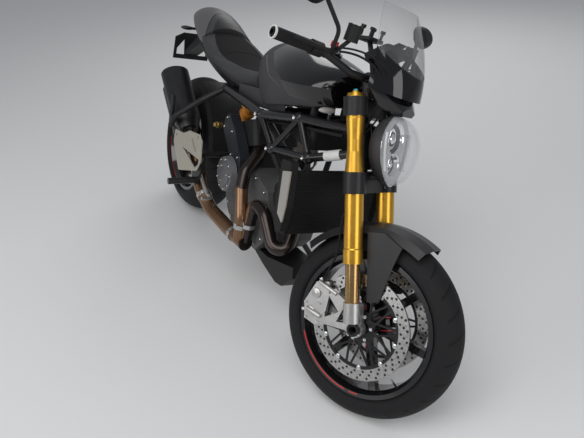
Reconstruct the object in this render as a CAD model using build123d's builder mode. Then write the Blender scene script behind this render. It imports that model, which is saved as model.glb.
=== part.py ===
from build123d import *
import os
from math import acos, atan2, cos, degrees, radians, sin, sqrt, tan

os.makedirs("parts", exist_ok=True)

# A naked road motorcycle with a V-twin engine hung under a short tube frame, leaning on its side
# stand with the steering turned to its left stop. Millimetres and degrees.
# Chassis pieces are drawn in the motorcycle frame: upright, X forward, Y to the rider's left, Z up,
# its origin where the rear tyre touches the road. Fork pieces are drawn in the steering frame: Z up
# the steering axis, X forward, its origin where that axis meets the road. Both are placed at the end.

# Clearances: between pieces that only rest against each other, and around turning pins
seat_gap = 0.3
running_gap = 0.05

# Chassis geometry
wheelbase = 1485
rake = 23.3
trail = 86.5
lean_angle = 16
steering_stop = 25

# Wheels and tyres: outer radius, tread crown radius, tread half width
front_radius = 300
front_crown = 60
front_tread = 58
rear_radius = 320.5
rear_crown = 97
rear_tread = 92
bead_radius = 217
bead_height = 12
front_bead = 46
rear_bead = 77
rim_flange = 7
rim_wall = 13
disc_radius = 165
disc_band = 36
disc_thickness = 5
disc_offset = 70
rear_disc_radius = 122
rear_disc_offset = 52
spoke_depth = 26
hub_radius = 36

# Fork: distances up the steering axis, and forward of it
leg_spacing = 104.5
leg_offset = 30
stanchion_radius = 22.5
outer_tube_bottom = 510
outer_tube_radius = 28.7
outer_tube_top_radius = 27
collar_radius = 30
lower_yoke_bottom = 717
lower_yoke_top = 781
upper_yoke_bottom = 945
upper_yoke_top = 1000
fork_cap_top = 1011
stem_radius = 17
foot_top = 391
axle_radius = 12.5
axle_bore = 9.5
axle_half_length = 118

# Frame and engine
tube_radius = 16
brace_radius = 11
head_tube_radius = 29
head_tube_bottom = 788
head_tube_top = 931
crankcase_half_width = 105

# Side stand
stand_tube_radius = 12
stand_pivot = Vector(680, 130, 272)
stand_foot_x = 748
stand_foot_y = 272
stand_bolt_radius = 6

# Rear hub and final drive
hub_bore_radius = 27.5
hub_carrier_radius = 69.5
stand_bore_radius = 20.25
chain_line = 139
chain_width = 16
chain_pitch_radius = 107
front_sprocket_radius = 38
front_sprocket_x = 600
front_sprocket_z = 398
chain_height = 12
sprocket_radius = chain_pitch_radius - chain_height / 2 - seat_gap


# The resting attitude

axle_lead = front_radius * sin(radians(rake)) - trail * cos(radians(rake))
axle_rise = front_radius * cos(radians(rake)) + trail * sin(radians(rake))
head = Pos(wheelbase + trail, 0, 0) * Rot(0, -rake, 0)
steer = Rot(0, 0, steering_stop)
front_axle_point = Vector(axle_lead, 0, axle_rise)
rear_axle_point = Vector(0, 0, rear_radius)


def tyre_bottom(place, centre, radius, crown):
    """Height of the lowest point of a tyre whose tread is part of a torus."""
    middle = (place * Pos(*centre)).position
    side = (place * Pos(centre.X, centre.Y + 1, centre.Z)).position - middle
    return middle.Z - (radius - crown) * sqrt(1 - side.Z ** 2) - crown


def attitude(pitch):
    return Rot(-lean_angle, 0, 0) * Rot(0, pitch, 0)


# The pitch at which both tyres stand on the floor, by halving an interval
low, high = -3.0, 3.0
for step in range(40):
    pitch = (low + high) / 2
    front_low = tyre_bottom(attitude(pitch) * head * steer, front_axle_point, front_radius, front_crown)
    rear_low = tyre_bottom(attitude(pitch), rear_axle_point, rear_radius, rear_crown)
    if front_low > rear_low:
        low = pitch
    else:
        high = pitch
chassis_place = Pos(0, 0, -rear_low) * attitude(pitch)
fork_place = chassis_place * head * steer
straight = head.inverse()


# Helpers

def floor_height(x, y):
    """Height, in the motorcycle frame, of the floor under the leaning motorcycle."""
    ground = chassis_place.inverse() * Pos(0, 0, 0)
    up = (chassis_place.inverse() * Pos(0, 0, 1)).position - ground.position
    base = ground.position
    return base.Z - (up.X * (x - base.X) + up.Y * (y - base.Y)) / up.Z


def on_fork(x, y, z):
    """A point given in the motorcycle frame, steering straight, as a point of the steering frame."""
    return tuple((straight * Pos(x, y, z)).position)


def gentle_bends(points):
    """The largest even bends of a hose: 0.45 of the shorter run over the tangent of half the turn."""
    bends = []
    for before, corner, after in zip(points, points[1:], points[2:]):
        arriving = Vector(*corner) - Vector(*before)
        leaving = Vector(*after) - Vector(*corner)
        half_turn = radians(arriving.get_angle(leaving)) / 2
        bends.append(0.45 * min(arriving.length, leaving.length) / tan(half_turn))
    return bends


def pipe(points, radius, bend=1000):
    """A round tube along straight runs joined by arcs of the bend radius, or of what the runs leave."""
    bends = [min(bend, room) for room in gentle_bends(points)]
    with BuildPart(mode=Mode.PRIVATE) as tube:
        with BuildLine() as path:
            if len(points) > 2:
                FilletPolyline(*points, radius=bends)
            else:
                Line(*points)
        with BuildSketch(Plane(origin=path.line @ 0, z_dir=path.line % 0)):
            Circle(radius)
        sweep()
    return tube.part


def rod(start, end, radius, bore=0):
    """A straight round bar or tube between two points."""
    run = Vector(*end) - Vector(*start)
    with BuildPart(mode=Mode.PRIVATE) as bar:
        with BuildSketch(Plane(origin=start, z_dir=run)):
            Circle(radius)
            if bore:
                Circle(bore, mode=Mode.SUBTRACT)
        extrude(amount=run.length)
    return bar.part


def along(start, end, distance):
    """The point at a distance from start towards end."""
    step = (Vector(*end) - Vector(*start)).normalized() * distance
    return tuple(Vector(*start) + step)


def both_sides(part):
    return part + mirror(part, about=Plane.XZ, mode=Mode.PRIVATE)


def side_slab(outline, inner, outer, rounding=0):
    """A plate with its outline in the side view, between two distances from the centre plane."""
    with BuildPart(mode=Mode.PRIVATE) as slab:
        with BuildSketch(Plane.XZ.offset(-inner)):
            with BuildLine():
                Polyline(*outline, close=True)
            make_face()
            if rounding:
                fillet(vertices(), rounding)
        extrude(amount=-(outer - inner))
    return slab.part


def body_section(x, bottom, bottom_half, shoulder, shoulder_half, top):
    """One cross section of a moulded body, closed by a flat bottom, two side arcs and a top arc."""
    side_y = (bottom_half + shoulder_half) / 2 + 0.06 * (shoulder - bottom)
    side_z = (bottom + shoulder) / 2
    with BuildSketch(Plane(origin=(x, 0, 0), x_dir=(0, 1, 0), z_dir=(1, 0, 0)), mode=Mode.PRIVATE) as section:
        with BuildLine():
            Line((-bottom_half, bottom), (bottom_half, bottom))
            ThreePointArc((bottom_half, bottom), (side_y, side_z), (shoulder_half, shoulder))
            ThreePointArc((shoulder_half, shoulder), (0, top), (-shoulder_half, shoulder))
            ThreePointArc((-shoulder_half, shoulder), (-side_y, side_z), (-bottom_half, bottom))
        make_face()
    return section.sketch


def moulded(table):
    """A body lofted through a short table of sections: see body_section for its columns."""
    return loft(sections=[body_section(*row) for row in table], mode=Mode.PRIVATE)


def wheel_ring(centre, rows):
    """A ring about an axle that lies along Y: rows are (distance along the axle, radius)."""
    with BuildPart(mode=Mode.PRIVATE) as ring:
        with BuildSketch(Plane(origin=centre, x_dir=(0, 1, 0), z_dir=(1, 0, 0))):
            with BuildLine():
                Polyline(*rows, close=True)
            make_face()
        revolve(axis=Axis(centre, (0, 1, 0)))
    return ring.part


def drum(centre, radius, start, end, bore=0):
    """A cylinder about an axle along Y, between two distances from the centre plane."""
    rows = [(start, bore), (end, bore), (end, radius), (start, radius)]
    return wheel_ring(Vector(centre.X, 0, centre.Z), rows)


# Tyres

def make_tyre(centre, radius, crown, tread, bead):
    shoulder = radius - crown + sqrt(crown ** 2 - tread ** 2)
    bead_top = bead_radius + bead_height
    belly = tread + 0.05 * tread
    with BuildPart() as tyre:
        with BuildSketch(Plane(origin=centre, x_dir=(0, 1, 0), z_dir=(1, 0, 0))):
            with BuildLine():
                Line((-bead, bead_radius), (bead, bead_radius))
                Line((bead, bead_radius), (bead, bead_top))
                ThreePointArc((bead, bead_top), (belly, (bead_top + 2 * shoulder) / 3), (tread, shoulder))
                ThreePointArc((tread, shoulder), (0, radius), (-tread, shoulder))
                ThreePointArc((-tread, shoulder), (-belly, (bead_top + 2 * shoulder) / 3), (-bead, bead_top))
                Line((-bead, bead_top), (-bead, bead_radius))
            make_face()
        revolve(axis=Axis(centre, (0, 1, 0)))
    return tyre


front_tyre = make_tyre(front_axle_point, front_radius, front_crown, front_tread, front_bead)
rear_tyre = make_tyre(rear_axle_point, rear_radius, rear_crown, rear_tread, rear_bead)


# Rims with three forked spokes

spoke_count = 3
fork_half_angle = 27
first_spoke = -113
stem_width = 46
branch_root_width = 30
branch_tip_width = 24


def y_spokes(centre, middle, inner_radius):
    """Three spokes, each forking in two, as flat blades around the axle."""
    reach = bead_radius - 6
    with BuildPart(mode=Mode.PRIVATE) as spokes:
        with BuildSketch(Plane(origin=(centre.X, middle, centre.Z), x_dir=(1, 0, 0), z_dir=(0, -1, 0))):
            for number in range(spoke_count):
                angle = first_spoke + number * 360 / spoke_count
                Polygon((0, -stem_width / 2), (inner_radius + 24, -stem_width / 2),
                        (inner_radius + 24, stem_width / 2), (0, stem_width / 2), rotation=angle, align=None)
                for lean in (-fork_half_angle, fork_half_angle):
                    Polygon((inner_radius * 0.7, -branch_root_width / 2), (reach, -branch_tip_width / 2),
                            (reach, branch_tip_width / 2), (inner_radius * 0.7, branch_root_width / 2),
                            rotation=angle + lean, align=None)
        extrude(amount=spoke_depth / 2, both=True)
    return spokes.part


def make_rim(centre, bead, hub_start, hub_end, spoke_middle, bore):
    edge = bead + rim_flange
    under = bead_radius - rim_wall
    barrel = wheel_ring(Vector(centre.X, 0, centre.Z), [
        (-edge, bead_radius + bead_height - 1), (-bead, bead_radius + bead_height - 1), (-bead, bead_radius),
        (bead, bead_radius), (bead, bead_radius + bead_height - 1), (edge, bead_radius + bead_height - 1),
        (edge, bead_radius - 3), (bead - 12, under), (12 - bead, under), (-edge, bead_radius - 3)])
    spokes = y_spokes(centre, spoke_middle, hub_radius)
    hub = drum(centre, hub_radius, hub_start, hub_end)
    bore_cut = drum(centre, bore, hub_start - 1, hub_end + 1)
    return barrel + spokes + hub - bore_cut


spacer_radius = 20
foot_inner = 78
hub_half = 58
spacers = drum(front_axle_point, spacer_radius, -foot_inner + seat_gap, foot_inner - seat_gap,
               axle_radius + running_gap)
with BuildPart() as front_rim:
    add(make_rim(front_axle_point, front_bead, -hub_half, hub_half, 0, axle_radius + running_gap))
    add(spacers)

rear_hub_inner = -52
rear_hub_outer = 40
with BuildPart() as rear_rim:
    add(make_rim(rear_axle_point, rear_bead, rear_hub_inner, rear_hub_outer, -6, hub_bore_radius))


# Brake discs: a drilled band, a carrier ring and a zigzag of thin arms

def make_disc(centre, radius, offset, hub_start, arms, inner, band):
    half = disc_thickness / 2
    ring = drum(centre, radius, offset - half, offset + half, radius - band)
    carrier = drum(centre, radius - band + 1, offset - half, offset + half, radius - band - 9)
    flange = drum(centre, inner + 18, min(hub_start, offset - half), max(hub_start, offset + half), inner)
    with BuildPart(mode=Mode.PRIVATE) as truss:
        with BuildSketch(Plane(origin=(centre.X, offset, centre.Z), x_dir=(1, 0, 0), z_dir=(0, -1, 0))):
            for number in range(arms):
                for slant in (-1, 1):
                    swing = slant * 180 / arms * 0.8
                    root = Vector(inner + 10, 0).rotate(Axis.Z, -swing)
                    tip = Vector(radius - band - 6, 0).rotate(Axis.Z, swing)
                    edge = (tip - root).rotate(Axis.Z, 90).normalized() * 3
                    corners = [(corner.X, corner.Y) for corner in (root + edge, tip + edge, tip - edge, root - edge)]
                    Polygon(*corners, rotation=(number + 0.5) * 360 / arms, align=None)
        extrude(amount=half, both=True)
    return ring + carrier + flange + truss.part


front_disc_part = make_disc(front_axle_point, disc_radius, disc_offset, hub_half, 10, hub_radius - 6, disc_band)
with BuildPart() as front_discs:
    add(both_sides(front_disc_part))
with BuildPart() as rear_disc:
    add(make_disc(rear_axle_point, rear_disc_radius, rear_disc_offset, rear_hub_outer, 6, hub_bore_radius, 30))


# Fork: gold outer tubes, bronze stanchions, feet that hold axle and calipers, yokes

fork_neck_radius = 23.5
fork_tube_profile = [
    (stanchion_radius + 0.2, outer_tube_bottom), (collar_radius, outer_tube_bottom),
    (collar_radius, outer_tube_bottom + 42), (outer_tube_radius, outer_tube_bottom + 46),
    (outer_tube_radius, lower_yoke_top), (fork_neck_radius, lower_yoke_top + 60),
    (fork_neck_radius, lower_yoke_top + 95), (outer_tube_top_radius, upper_yoke_bottom - 8),
    (outer_tube_top_radius, upper_yoke_top + 2), (24, fork_cap_top), (10, fork_cap_top),
    (10, fork_cap_top + 6), (0, fork_cap_top + 6), (0, outer_tube_bottom + 90),
    (stanchion_radius + 0.2, outer_tube_bottom + 90)]
with BuildPart() as fork_tubes:
    for side in (-1, 1):
        with BuildSketch(Plane(origin=(leg_offset, side * leg_spacing, 0), x_dir=(1, 0, 0), z_dir=(0, -1, 0))):
            with BuildLine():
                Polyline(*fork_tube_profile, close=True)
            make_face()
        revolve(axis=Axis((leg_offset, side * leg_spacing, 0), (0, 0, 1)))

stanchion_top = outer_tube_bottom + 80
with BuildPart() as fork_stanchions:
    with BuildSketch(Plane.XY.offset(foot_top)):
        with Locations((leg_offset, -leg_spacing), (leg_offset, leg_spacing)):
            Circle(stanchion_radius)
    extrude(amount=stanchion_top - foot_top)

# Fork foot: leg socket, axle boss and two lugs behind it for the caliper
lug_rear = -58
axle_lug_rear = -74
foot_outline = [(leg_offset + 24, foot_top - 4), (leg_offset - 24, foot_top - 2), (-42, 420), (lug_rear, 402),
                (-22, 352), (axle_lug_rear, 330), (axle_lug_rear, 308), (0, 300), (axle_lead - 16, axle_rise - 22),
                (axle_lead + 20, axle_rise - 16), (leg_offset + 26, 350)]
foot_part = side_slab(foot_outline, foot_inner, foot_inner + 18)
foot_window = side_slab([(-8, 362), (14, 348), (8, 322), (-30, 322)], foot_inner - 1, foot_inner + 19)
socket = Pos(leg_offset, leg_spacing, (foot_top + 330) / 2) * Cylinder(27, foot_top - 330)
axle_boss = drum(front_axle_point, 25, foot_inner, axle_half_length - 12)
axle_hole = drum(front_axle_point, axle_radius, foot_inner - 1, axle_half_length)
foot_part = foot_part - foot_window + socket + axle_boss - axle_hole
with BuildPart() as fork_feet:
    add(both_sides(foot_part))

cap_radius = 20
cap_recess = 8
axle_inside = axle_half_length - cap_recess
axle_shaft = drum(front_axle_point, axle_radius, -axle_inside, axle_inside, axle_bore)
axle_cap = drum(front_axle_point, cap_radius, axle_inside, axle_half_length, 13)
axle_cap_seat = drum(front_axle_point, cap_radius, axle_half_length - 12, axle_inside, axle_bore)
with BuildPart() as front_axle:
    add(axle_shaft + both_sides(axle_cap + axle_cap_seat))

# Yokes joined by the steering stem, with a bore under the stem for a workshop stand.
# Columns: bottom, top, radius of the holes for the legs
yoke_rows = ((lower_yoke_bottom, lower_yoke_top, outer_tube_radius),
             (upper_yoke_bottom, upper_yoke_top, outer_tube_top_radius))
yoke_front = 41
yoke_depth = 46
leg_places = ((leg_offset, -leg_spacing), (leg_offset, leg_spacing))
stem_bore_radius = 9
stem_bore_depth = 40
with BuildPart() as fork_yokes:
    for bottom, top, hole in yoke_rows:
        with BuildSketch(Plane.XY.offset(bottom)):
            with Locations(*leg_places):
                Circle(36)
            with Locations((yoke_front - yoke_depth / 2, 0)):
                Rectangle(yoke_depth, 2 * leg_spacing)
            Circle(34)
            with Locations(*leg_places):
                Circle(hole, mode=Mode.SUBTRACT)
        extrude(amount=top - bottom)
    with BuildSketch(Plane.XY.offset(lower_yoke_top)):
        Circle(stem_radius)
    extrude(amount=upper_yoke_bottom - lower_yoke_top)
    with BuildSketch(Plane.XY.offset(lower_yoke_bottom)):
        Circle(stem_bore_radius)
    extrude(amount=stem_bore_depth, mode=Mode.SUBTRACT)

# Calipers straddle the discs behind the legs
caliper_outline = [(lug_rear - seat_gap, 442), (-104, 438), (-150, 372), (-150, 318), (-112, 300),
                   (axle_lug_rear - seat_gap, 306), (axle_lug_rear - seat_gap, 336), (lug_rear - seat_gap, 398)]
caliper_inner = 50
caliper_part = side_slab(caliper_outline, caliper_inner, 92)
caliper_slot = side_slab([(-200, 250), (20, 250), (20, 480), (-200, 480)],
                         disc_offset - disc_thickness / 2 - 5, disc_offset + disc_thickness / 2 + 5)
disc_room = drum(front_axle_point, disc_radius + 5, caliper_inner - 1, 93)
foot_room = side_slab([(-58, 452), (30, 452), (30, 290), (-74, 290), (-74, 345), (-40, 395)],
                      foot_inner - seat_gap, 100)
caliper_part = caliper_part - (caliper_slot & disc_room) - foot_room
with BuildPart() as front_calipers:
    add(both_sides(caliper_part))

# Front mudguard: an arch over the tyre with a flank in front of each leg
guard_room = 15
guard_radius = front_radius + guard_room
guard_thickness = 4
guard_half = leg_spacing - outer_tube_radius - seat_gap - guard_thickness
flank_inner = 78
guard_front = 50
guard_rear = 128
guard_ring = wheel_ring(front_axle_point, [
    (-guard_half, guard_radius - 26), (-guard_half + 14, guard_radius - 6), (0, guard_radius),
    (guard_half - 14, guard_radius - 6), (guard_half, guard_radius - 26),
    (guard_half + guard_thickness, guard_radius - 26), (guard_half - 12, guard_radius - 2),
    (0, guard_radius + guard_thickness), (12 - guard_half, guard_radius - 2),
    (-guard_half - guard_thickness, guard_radius - 26)])
reach = 2 * guard_radius
guard_sector = side_slab([
    (axle_lead, axle_rise),
    (axle_lead + reach * cos(radians(guard_front)), axle_rise + reach * sin(radians(guard_front))),
    (axle_lead + 40, axle_rise + reach),
    (axle_lead + reach * cos(radians(guard_rear)), axle_rise + reach * sin(radians(guard_rear)))], -100, 100)
flank = side_slab([(66, 392), (106, 396), (146, 498), (176, 560), (120, 604), (66, 604)], flank_inner,
                  flank_inner + guard_thickness)
flank_root = side_slab([(66, 566), (174, 556), (178, 562), (120, 604), (66, 604)], guard_half - 1,
                       flank_inner + guard_thickness)
with BuildPart() as front_mudguard:
    add((guard_ring & guard_sector) + both_sides(flank + flank_root))


# Handlebar and what is on it

bar_radius = 11
bar_half = 392
grip_radius = 17
bar_points = [on_fork(1060, -bar_half, 1027), on_fork(1122, -230, 1022), on_fork(1176, -135, 990),
              on_fork(1196, -90, 988), on_fork(1196, 90, 988), on_fork(1176, 135, 990),
              on_fork(1122, 230, 1022), on_fork(1060, bar_half, 1027)]
bar_bend = on_fork(1122, 230, 1022)
bar_end = on_fork(1060, bar_half, 1027)
bar_end_bore = 8
bar_end_depth = 60
bar_tube = pipe(bar_points, bar_radius, 50)
bar_hollow = rod(bar_end, along(bar_end, bar_bend, bar_end_depth), bar_end_bore)
with BuildPart() as handlebar:
    add(bar_tube - both_sides(bar_hollow))

# Risers hold the bar above the upper yoke
riser_radius = 17
riser_spacing = 50
bar_centre = Vector(*on_fork(1196, 0, 988))
riser_part = (Pos(bar_centre.X - 6, riser_spacing, (upper_yoke_top + bar_centre.Z) / 2)
              * Cylinder(riser_radius, bar_centre.Z - upper_yoke_top)
              + drum(bar_centre, riser_radius + 3, riser_spacing - 12, riser_spacing + 12)
              - drum(bar_centre, bar_radius, riser_spacing - 20, riser_spacing + 20))
with BuildPart() as bar_clamps:
    add(both_sides(riser_part))

grip_part = rod(along(bar_bend, bar_end, 44), along(bar_bend, bar_end, 166), grip_radius)
grip_part = grip_part - rod(bar_bend, bar_end, bar_radius)
with BuildPart() as grips:
    add(both_sides(grip_part))

# Switch housings, levers, brake and clutch reservoirs
housing = rod(along(bar_bend, bar_end, 6), along(bar_bend, bar_end, 42), 21)
perch = rod(along(bar_bend, bar_end, 10), on_fork(1158, 238, 1030), 9)
lever = pipe([on_fork(1150, 205, 1034), on_fork(1166, 262, 1030), on_fork(1124, 376, 1036)], 6, 40)
reservoir_neck = rod(on_fork(1152, 210, 1034), on_fork(1172, 190, 1076), 6)
reservoir = rod(on_fork(1172, 190, 1070), on_fork(1172, 190, 1112), 21)
controls_part = housing + perch + lever + reservoir_neck + reservoir - bar_tube
with BuildPart() as hand_controls:
    add(both_sides(controls_part))

# Mirrors on stalks above the hand controls
stalk = pipe([on_fork(1154, 234, 1032), on_fork(1160, 242, 1090), on_fork(1122, 300, 1158)], 6, 40)
stalk = stalk - controls_part
shell_plane = Plane(origin=on_fork(1118, 352, 1168), x_dir=(0, 1, 0), z_dir=(1, 0, 0.05))
with BuildPart() as mirror_shell:
    with BuildSketch(shell_plane.offset(-14)):
        Ellipse(62, 38)
    with BuildSketch(shell_plane.offset(6)):
        Ellipse(54, 32)
    with BuildSketch(shell_plane.offset(18)):
        Ellipse(26, 16)
    loft()
with BuildPart() as mirrors:
    add(both_sides(stalk + mirror_shell.part))


# Headlight: a bowl with two stacked reflector cups behind a clear lens

lamp_centre = Vector(1338, 0, 820)
lamp_tilt = 16
lamp_plane = Plane(origin=lamp_centre, x_dir=(0, 1, 0),
                   z_dir=(cos(radians(lamp_tilt)), 0, sin(radians(lamp_tilt))))
lamp_half = 96
lamp_top = 104
lamp_bottom = 110
lamp_shoulder = 25


def lamp_outline(offset, scale):
    """The rounded, pointed outline of the headlight, scaled, at a distance in front of its rim."""
    half, top, bottom, shoulder = (scale * size for size in (lamp_half, lamp_top, lamp_bottom, lamp_shoulder))
    tip = 0.19 * half
    with BuildSketch(lamp_plane.offset(offset), mode=Mode.PRIVATE) as outline:
        with BuildLine():
            ThreePointArc((-half, shoulder), (0, top), (half, shoulder))
            ThreePointArc((half, shoulder), (0.76 * half, -0.5 * bottom), (tip, -0.95 * bottom))
            ThreePointArc((tip, -0.95 * bottom), (0, -bottom), (-tip, -0.95 * bottom))
            ThreePointArc((-tip, -0.95 * bottom), (-0.76 * half, -0.5 * bottom), (-half, shoulder))
        make_face()
    return outline.sketch


bowl_body = loft(sections=[lamp_outline(-60, 0.6), lamp_outline(-34, 0.92), lamp_outline(0, 1)])
# Columns: height above the lamp's middle, radius
cup_rows = ((34, 50), (-44, 36))
cups = Part()
for height, cup_radius in cup_rows:
    cup_plane = Plane(lamp_plane.location * Pos(0, height, 0))
    with BuildPart(mode=Mode.PRIVATE) as cup:
        with BuildSketch(cup_plane.offset(1)):
            Circle(cup_radius)
        with BuildSketch(cup_plane.offset(-30)):
            Circle(cup_radius * 0.45)
        loft()
    cups += cup.part
lamp_lug = rod((yoke_front + seat_gap, 20, 764), (74, 20, 764), 7)
with BuildPart() as headlight_bowl:
    add(straight * (bowl_body - cups) + both_sides(lamp_lug))
lens_outer = loft(sections=[lamp_outline(seat_gap, 0.97), lamp_outline(30, 0.87), lamp_outline(58, 0.5)])
lens_inner = loft(sections=[lamp_outline(-1, 0.93), lamp_outline(27, 0.83), lamp_outline(54, 0.46)])
with BuildPart() as headlight_lens:
    add(straight * (lens_outer - lens_inner))

# Nose cowl over the headlight, open below and behind, and the curved clear screen on it
cowl_table = ((1228, 955, 98, 1000, 112, 1036), (1290, 926, 70, 966, 88, 1000), (1334, 924, 30, 936, 42, 950))
cowl_wall = 4
cowl_outer = moulded(cowl_table)
cowl_inner = moulded([(x - (1 if x < 1300 else 4), bottom - 5, half - cowl_wall, shoulder, s_half - cowl_wall,
                       top - cowl_wall) for x, bottom, half, shoulder, s_half, top in cowl_table])
# Columns: height, x of the nose, x of the side edges, half width
screen_thickness = 3.5
screen_rows = ((972, 1344, 1251, 113), (1100, 1300, 1215, 124), (1206, 1222, 1186, 118))


def screen_slice(height, nose, side_x, half, inset):
    """A horizontal slice of the space behind the screen's outer or inner face."""
    with BuildSketch(Plane.XY.offset(height), mode=Mode.PRIVATE) as outline:
        with BuildLine():
            ThreePointArc((side_x - inset, inset - half), (nose - inset, 0), (side_x - inset, half - inset))
            Line((side_x - inset, half - inset), (side_x - inset, inset - half))
        make_face()
    return outline.sketch


screen_outer = loft(sections=[screen_slice(*row, 0) for row in screen_rows])
screen_inner = loft(sections=[screen_slice(*row, screen_thickness) for row in screen_rows])
with BuildPart() as screen:
    add(straight * (screen_outer - screen_inner))

grommet = rod((1262, 94, 983), (1262, 112, 983), 5) & screen_inner
cowl_post = rod((1294, 0, 900), (1294, 0, 992), 9) - bowl_body
with BuildPart() as nose_cowl:
    add(straight * (cowl_outer - cowl_inner + both_sides(grommet) + cowl_post))

dash_plane = Plane(origin=(1188, 0, 1076), x_dir=(0, 1, 0), z_dir=(-0.64, 0, 0.77))
with BuildPart() as dash_box:
    with BuildSketch(dash_plane.offset(-22)):
        RectangleRounded(150, 84, 16)
    extrude(amount=22)
    with BuildSketch(dash_plane.offset(-46)):
        RectangleRounded(70, 40, 8)
    extrude(amount=24)
dash_stay = pipe([(84, 20, 1106), (74, 20, 1050), (34, 20, 1016), (34, 20, upper_yoke_top + seat_gap)], 5, 12)
with BuildPart() as instruments:
    add(straight * dash_box.part + both_sides(dash_stay))

# Brake hoses run from the lower yoke down inside the fork legs to the calipers
hose_radius = 3
hose_points = [(2, -62, lower_yoke_bottom - seat_gap), (0, -63, 692), (-22, -80, 650), (-26, -86, 590),
               (-34, -86, 530), (-60, -86, 486), (-88, -80, 443)]
with BuildPart() as brake_hoses:
    add(both_sides(pipe(hose_points, hose_radius)))


# Engine: crankcase, two liquid cooled cylinders at a right angle, covers

sump_bottom = 232
crankcase = side_slab([(555, 335), (600, 270), (660, sump_bottom), (890, sump_bottom), (940, 290), (955, 400),
                       (900, 480), (715, 520), (590, 520), (555, 460)],
                      -crankcase_half_width, crankcase_half_width, 12)

bank_tilt = 25
front_bank = Plane(origin=(880, 0, 405), x_dir=(0, 1, 0),
                   z_dir=(cos(radians(bank_tilt)), 0, sin(radians(bank_tilt))))
rear_bank = Plane(origin=(700, 0, 470), x_dir=(0, 1, 0),
                  z_dir=(-sin(radians(bank_tilt)), 0, cos(radians(bank_tilt))))
with BuildPart() as cylinder_banks:
    for bank, barrel_length, head_length in ((front_bank, 92, 92), (rear_bank, 100, 100)):
        with BuildSketch(bank):
            RectangleRounded(170, 130, 20)
        extrude(amount=barrel_length)
        with BuildSketch(bank.offset(barrel_length)):
            RectangleRounded(200, 150, 22)
        extrude(amount=head_length)
cylinder_part = cylinder_banks.part - crankcase

belt_cover_outline = [(525, 588), (530, 636), (562, 660), (640, 610), (722, 532), (728, 462), (694, 446),
                      (632, 500)]
belt_cover = side_slab(belt_cover_outline, crankcase_half_width + seat_gap, 148, 12) - cylinder_part
belt_room = side_slab(belt_cover_outline, crankcase_half_width - 1, 152, 12)
with BuildPart() as belt_covers:
    add(mirror(belt_cover, about=Plane.XZ, mode=Mode.PRIVATE))

# Columns: side, centre, radius, depth
clutch_centre = (660, 446)
alternator_centre = (752, 400)
cover_rows = ((-1, clutch_centre, 82, 70), (1, alternator_centre, 86, 40))
belt_room = mirror(belt_room, about=Plane.XZ)
with BuildPart() as engine_covers:
    for side, centre, radius, depth in cover_rows:
        with BuildSketch(Plane(origin=(centre[0], side * (crankcase_half_width + seat_gap), centre[1]),
                               x_dir=(1, 0, 0), z_dir=(0, side, 0))):
            Circle(radius)
        extrude(amount=depth, taper=12)
    add(belt_room, mode=Mode.SUBTRACT)

# Frame: two sides of straight tubes from the steering head down to the cylinder heads

head_top = (1226, 38, 838)
head_low = (1252, 38, 775)
top_joint = (1010, 108, 800)
rear_joint = (790, 134, 736)
front_joint = (1112, 108, 700)
mid_joint = (905, 128, 650)
tail_joint = (430, 120, 722)
joint_radius = 20
# Columns: start, end, tube radius
frame_rows = ((head_top, top_joint, tube_radius), (top_joint, rear_joint, tube_radius),
              (rear_joint, tail_joint, tube_radius), (head_low, front_joint, tube_radius - 2),
              (front_joint, top_joint, brace_radius), (top_joint, mid_joint, brace_radius),
              (mid_joint, rear_joint, brace_radius), (front_joint, mid_joint, brace_radius))
frame_side = Part()
for joint in (top_joint, rear_joint, front_joint, mid_joint, tail_joint):
    frame_side += Pos(*joint) * Sphere(joint_radius)
for start, end, radius in frame_rows:
    frame_side += rod(start, end, radius)
frame_cross = Part()
for x, y, z in (top_joint, tail_joint):
    frame_cross += rod((x, -y, z), (x, y, z), brace_radius)
head_tube = rod(tuple((head * Pos(0, 0, head_tube_bottom)).position),
                tuple((head * Pos(0, 0, head_tube_top)).position), head_tube_radius)
head_bore = rod(tuple((head * Pos(0, 0, head_tube_bottom - 20)).position),
                tuple((head * Pos(0, 0, head_tube_top + 20)).position), stem_radius + running_gap)
with BuildPart() as trellis_frame:
    add(both_sides(frame_side) + frame_cross + head_tube - head_bore)

# The engine hangs from the frame by a lug from each cylinder head to a joint of the frame.
# Columns: joint, point inside the head
lug_rows = ((mid_joint, (971, 62, 508)), (rear_joint, (691, 62, 620)))
head_lugs = Part()
for joint, inside in lug_rows:
    lug = rod(inside, joint, brace_radius) - Pos(*joint) * Sphere(joint_radius + seat_gap)
    for start, end, radius in frame_rows:
        if joint in (start, end):
            lug = lug - rod(start, end, radius + seat_gap)
    head_lugs += lug
with BuildPart() as cylinders:
    add(cylinder_part + both_sides(head_lugs))

airbox_top = top_joint[2] - brace_radius - seat_gap
with BuildPart() as airbox:
    with BuildSketch(Plane.XY.offset(airbox_top)):
        with Locations((970, 0)):
            RectangleRounded(220, 180, 20)
    extrude(amount=-74)


# Tank, seat and tail: columns are x, bottom z, bottom half width, shoulder z, shoulder half width, top z

tank_table = ((604, 778, 60, 876, 76, 926), (640, 766, 76, 896, 98, 964), (700, 762, 96, 896, 122, 984),
              (780, 774, 122, 892, 150, 996), (920, 816, 130, 902, 172, 1004), (1045, 852, 106, 918, 146, 994),
              (1110, 880, 58, 928, 84, 972))
filler_x = 930
x, y, z = top_joint
tank_feet = both_sides(rod((x, 60, z + 4), (x, 60, z + 60), 12)) - frame_cross
with BuildPart() as fuel_tank:
    add(moulded(tank_table) + tank_feet)
    with BuildSketch(Plane.XY.offset(980)):
        with Locations((filler_x, 0)):
            Circle(44)
    extrude(amount=26)

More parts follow.
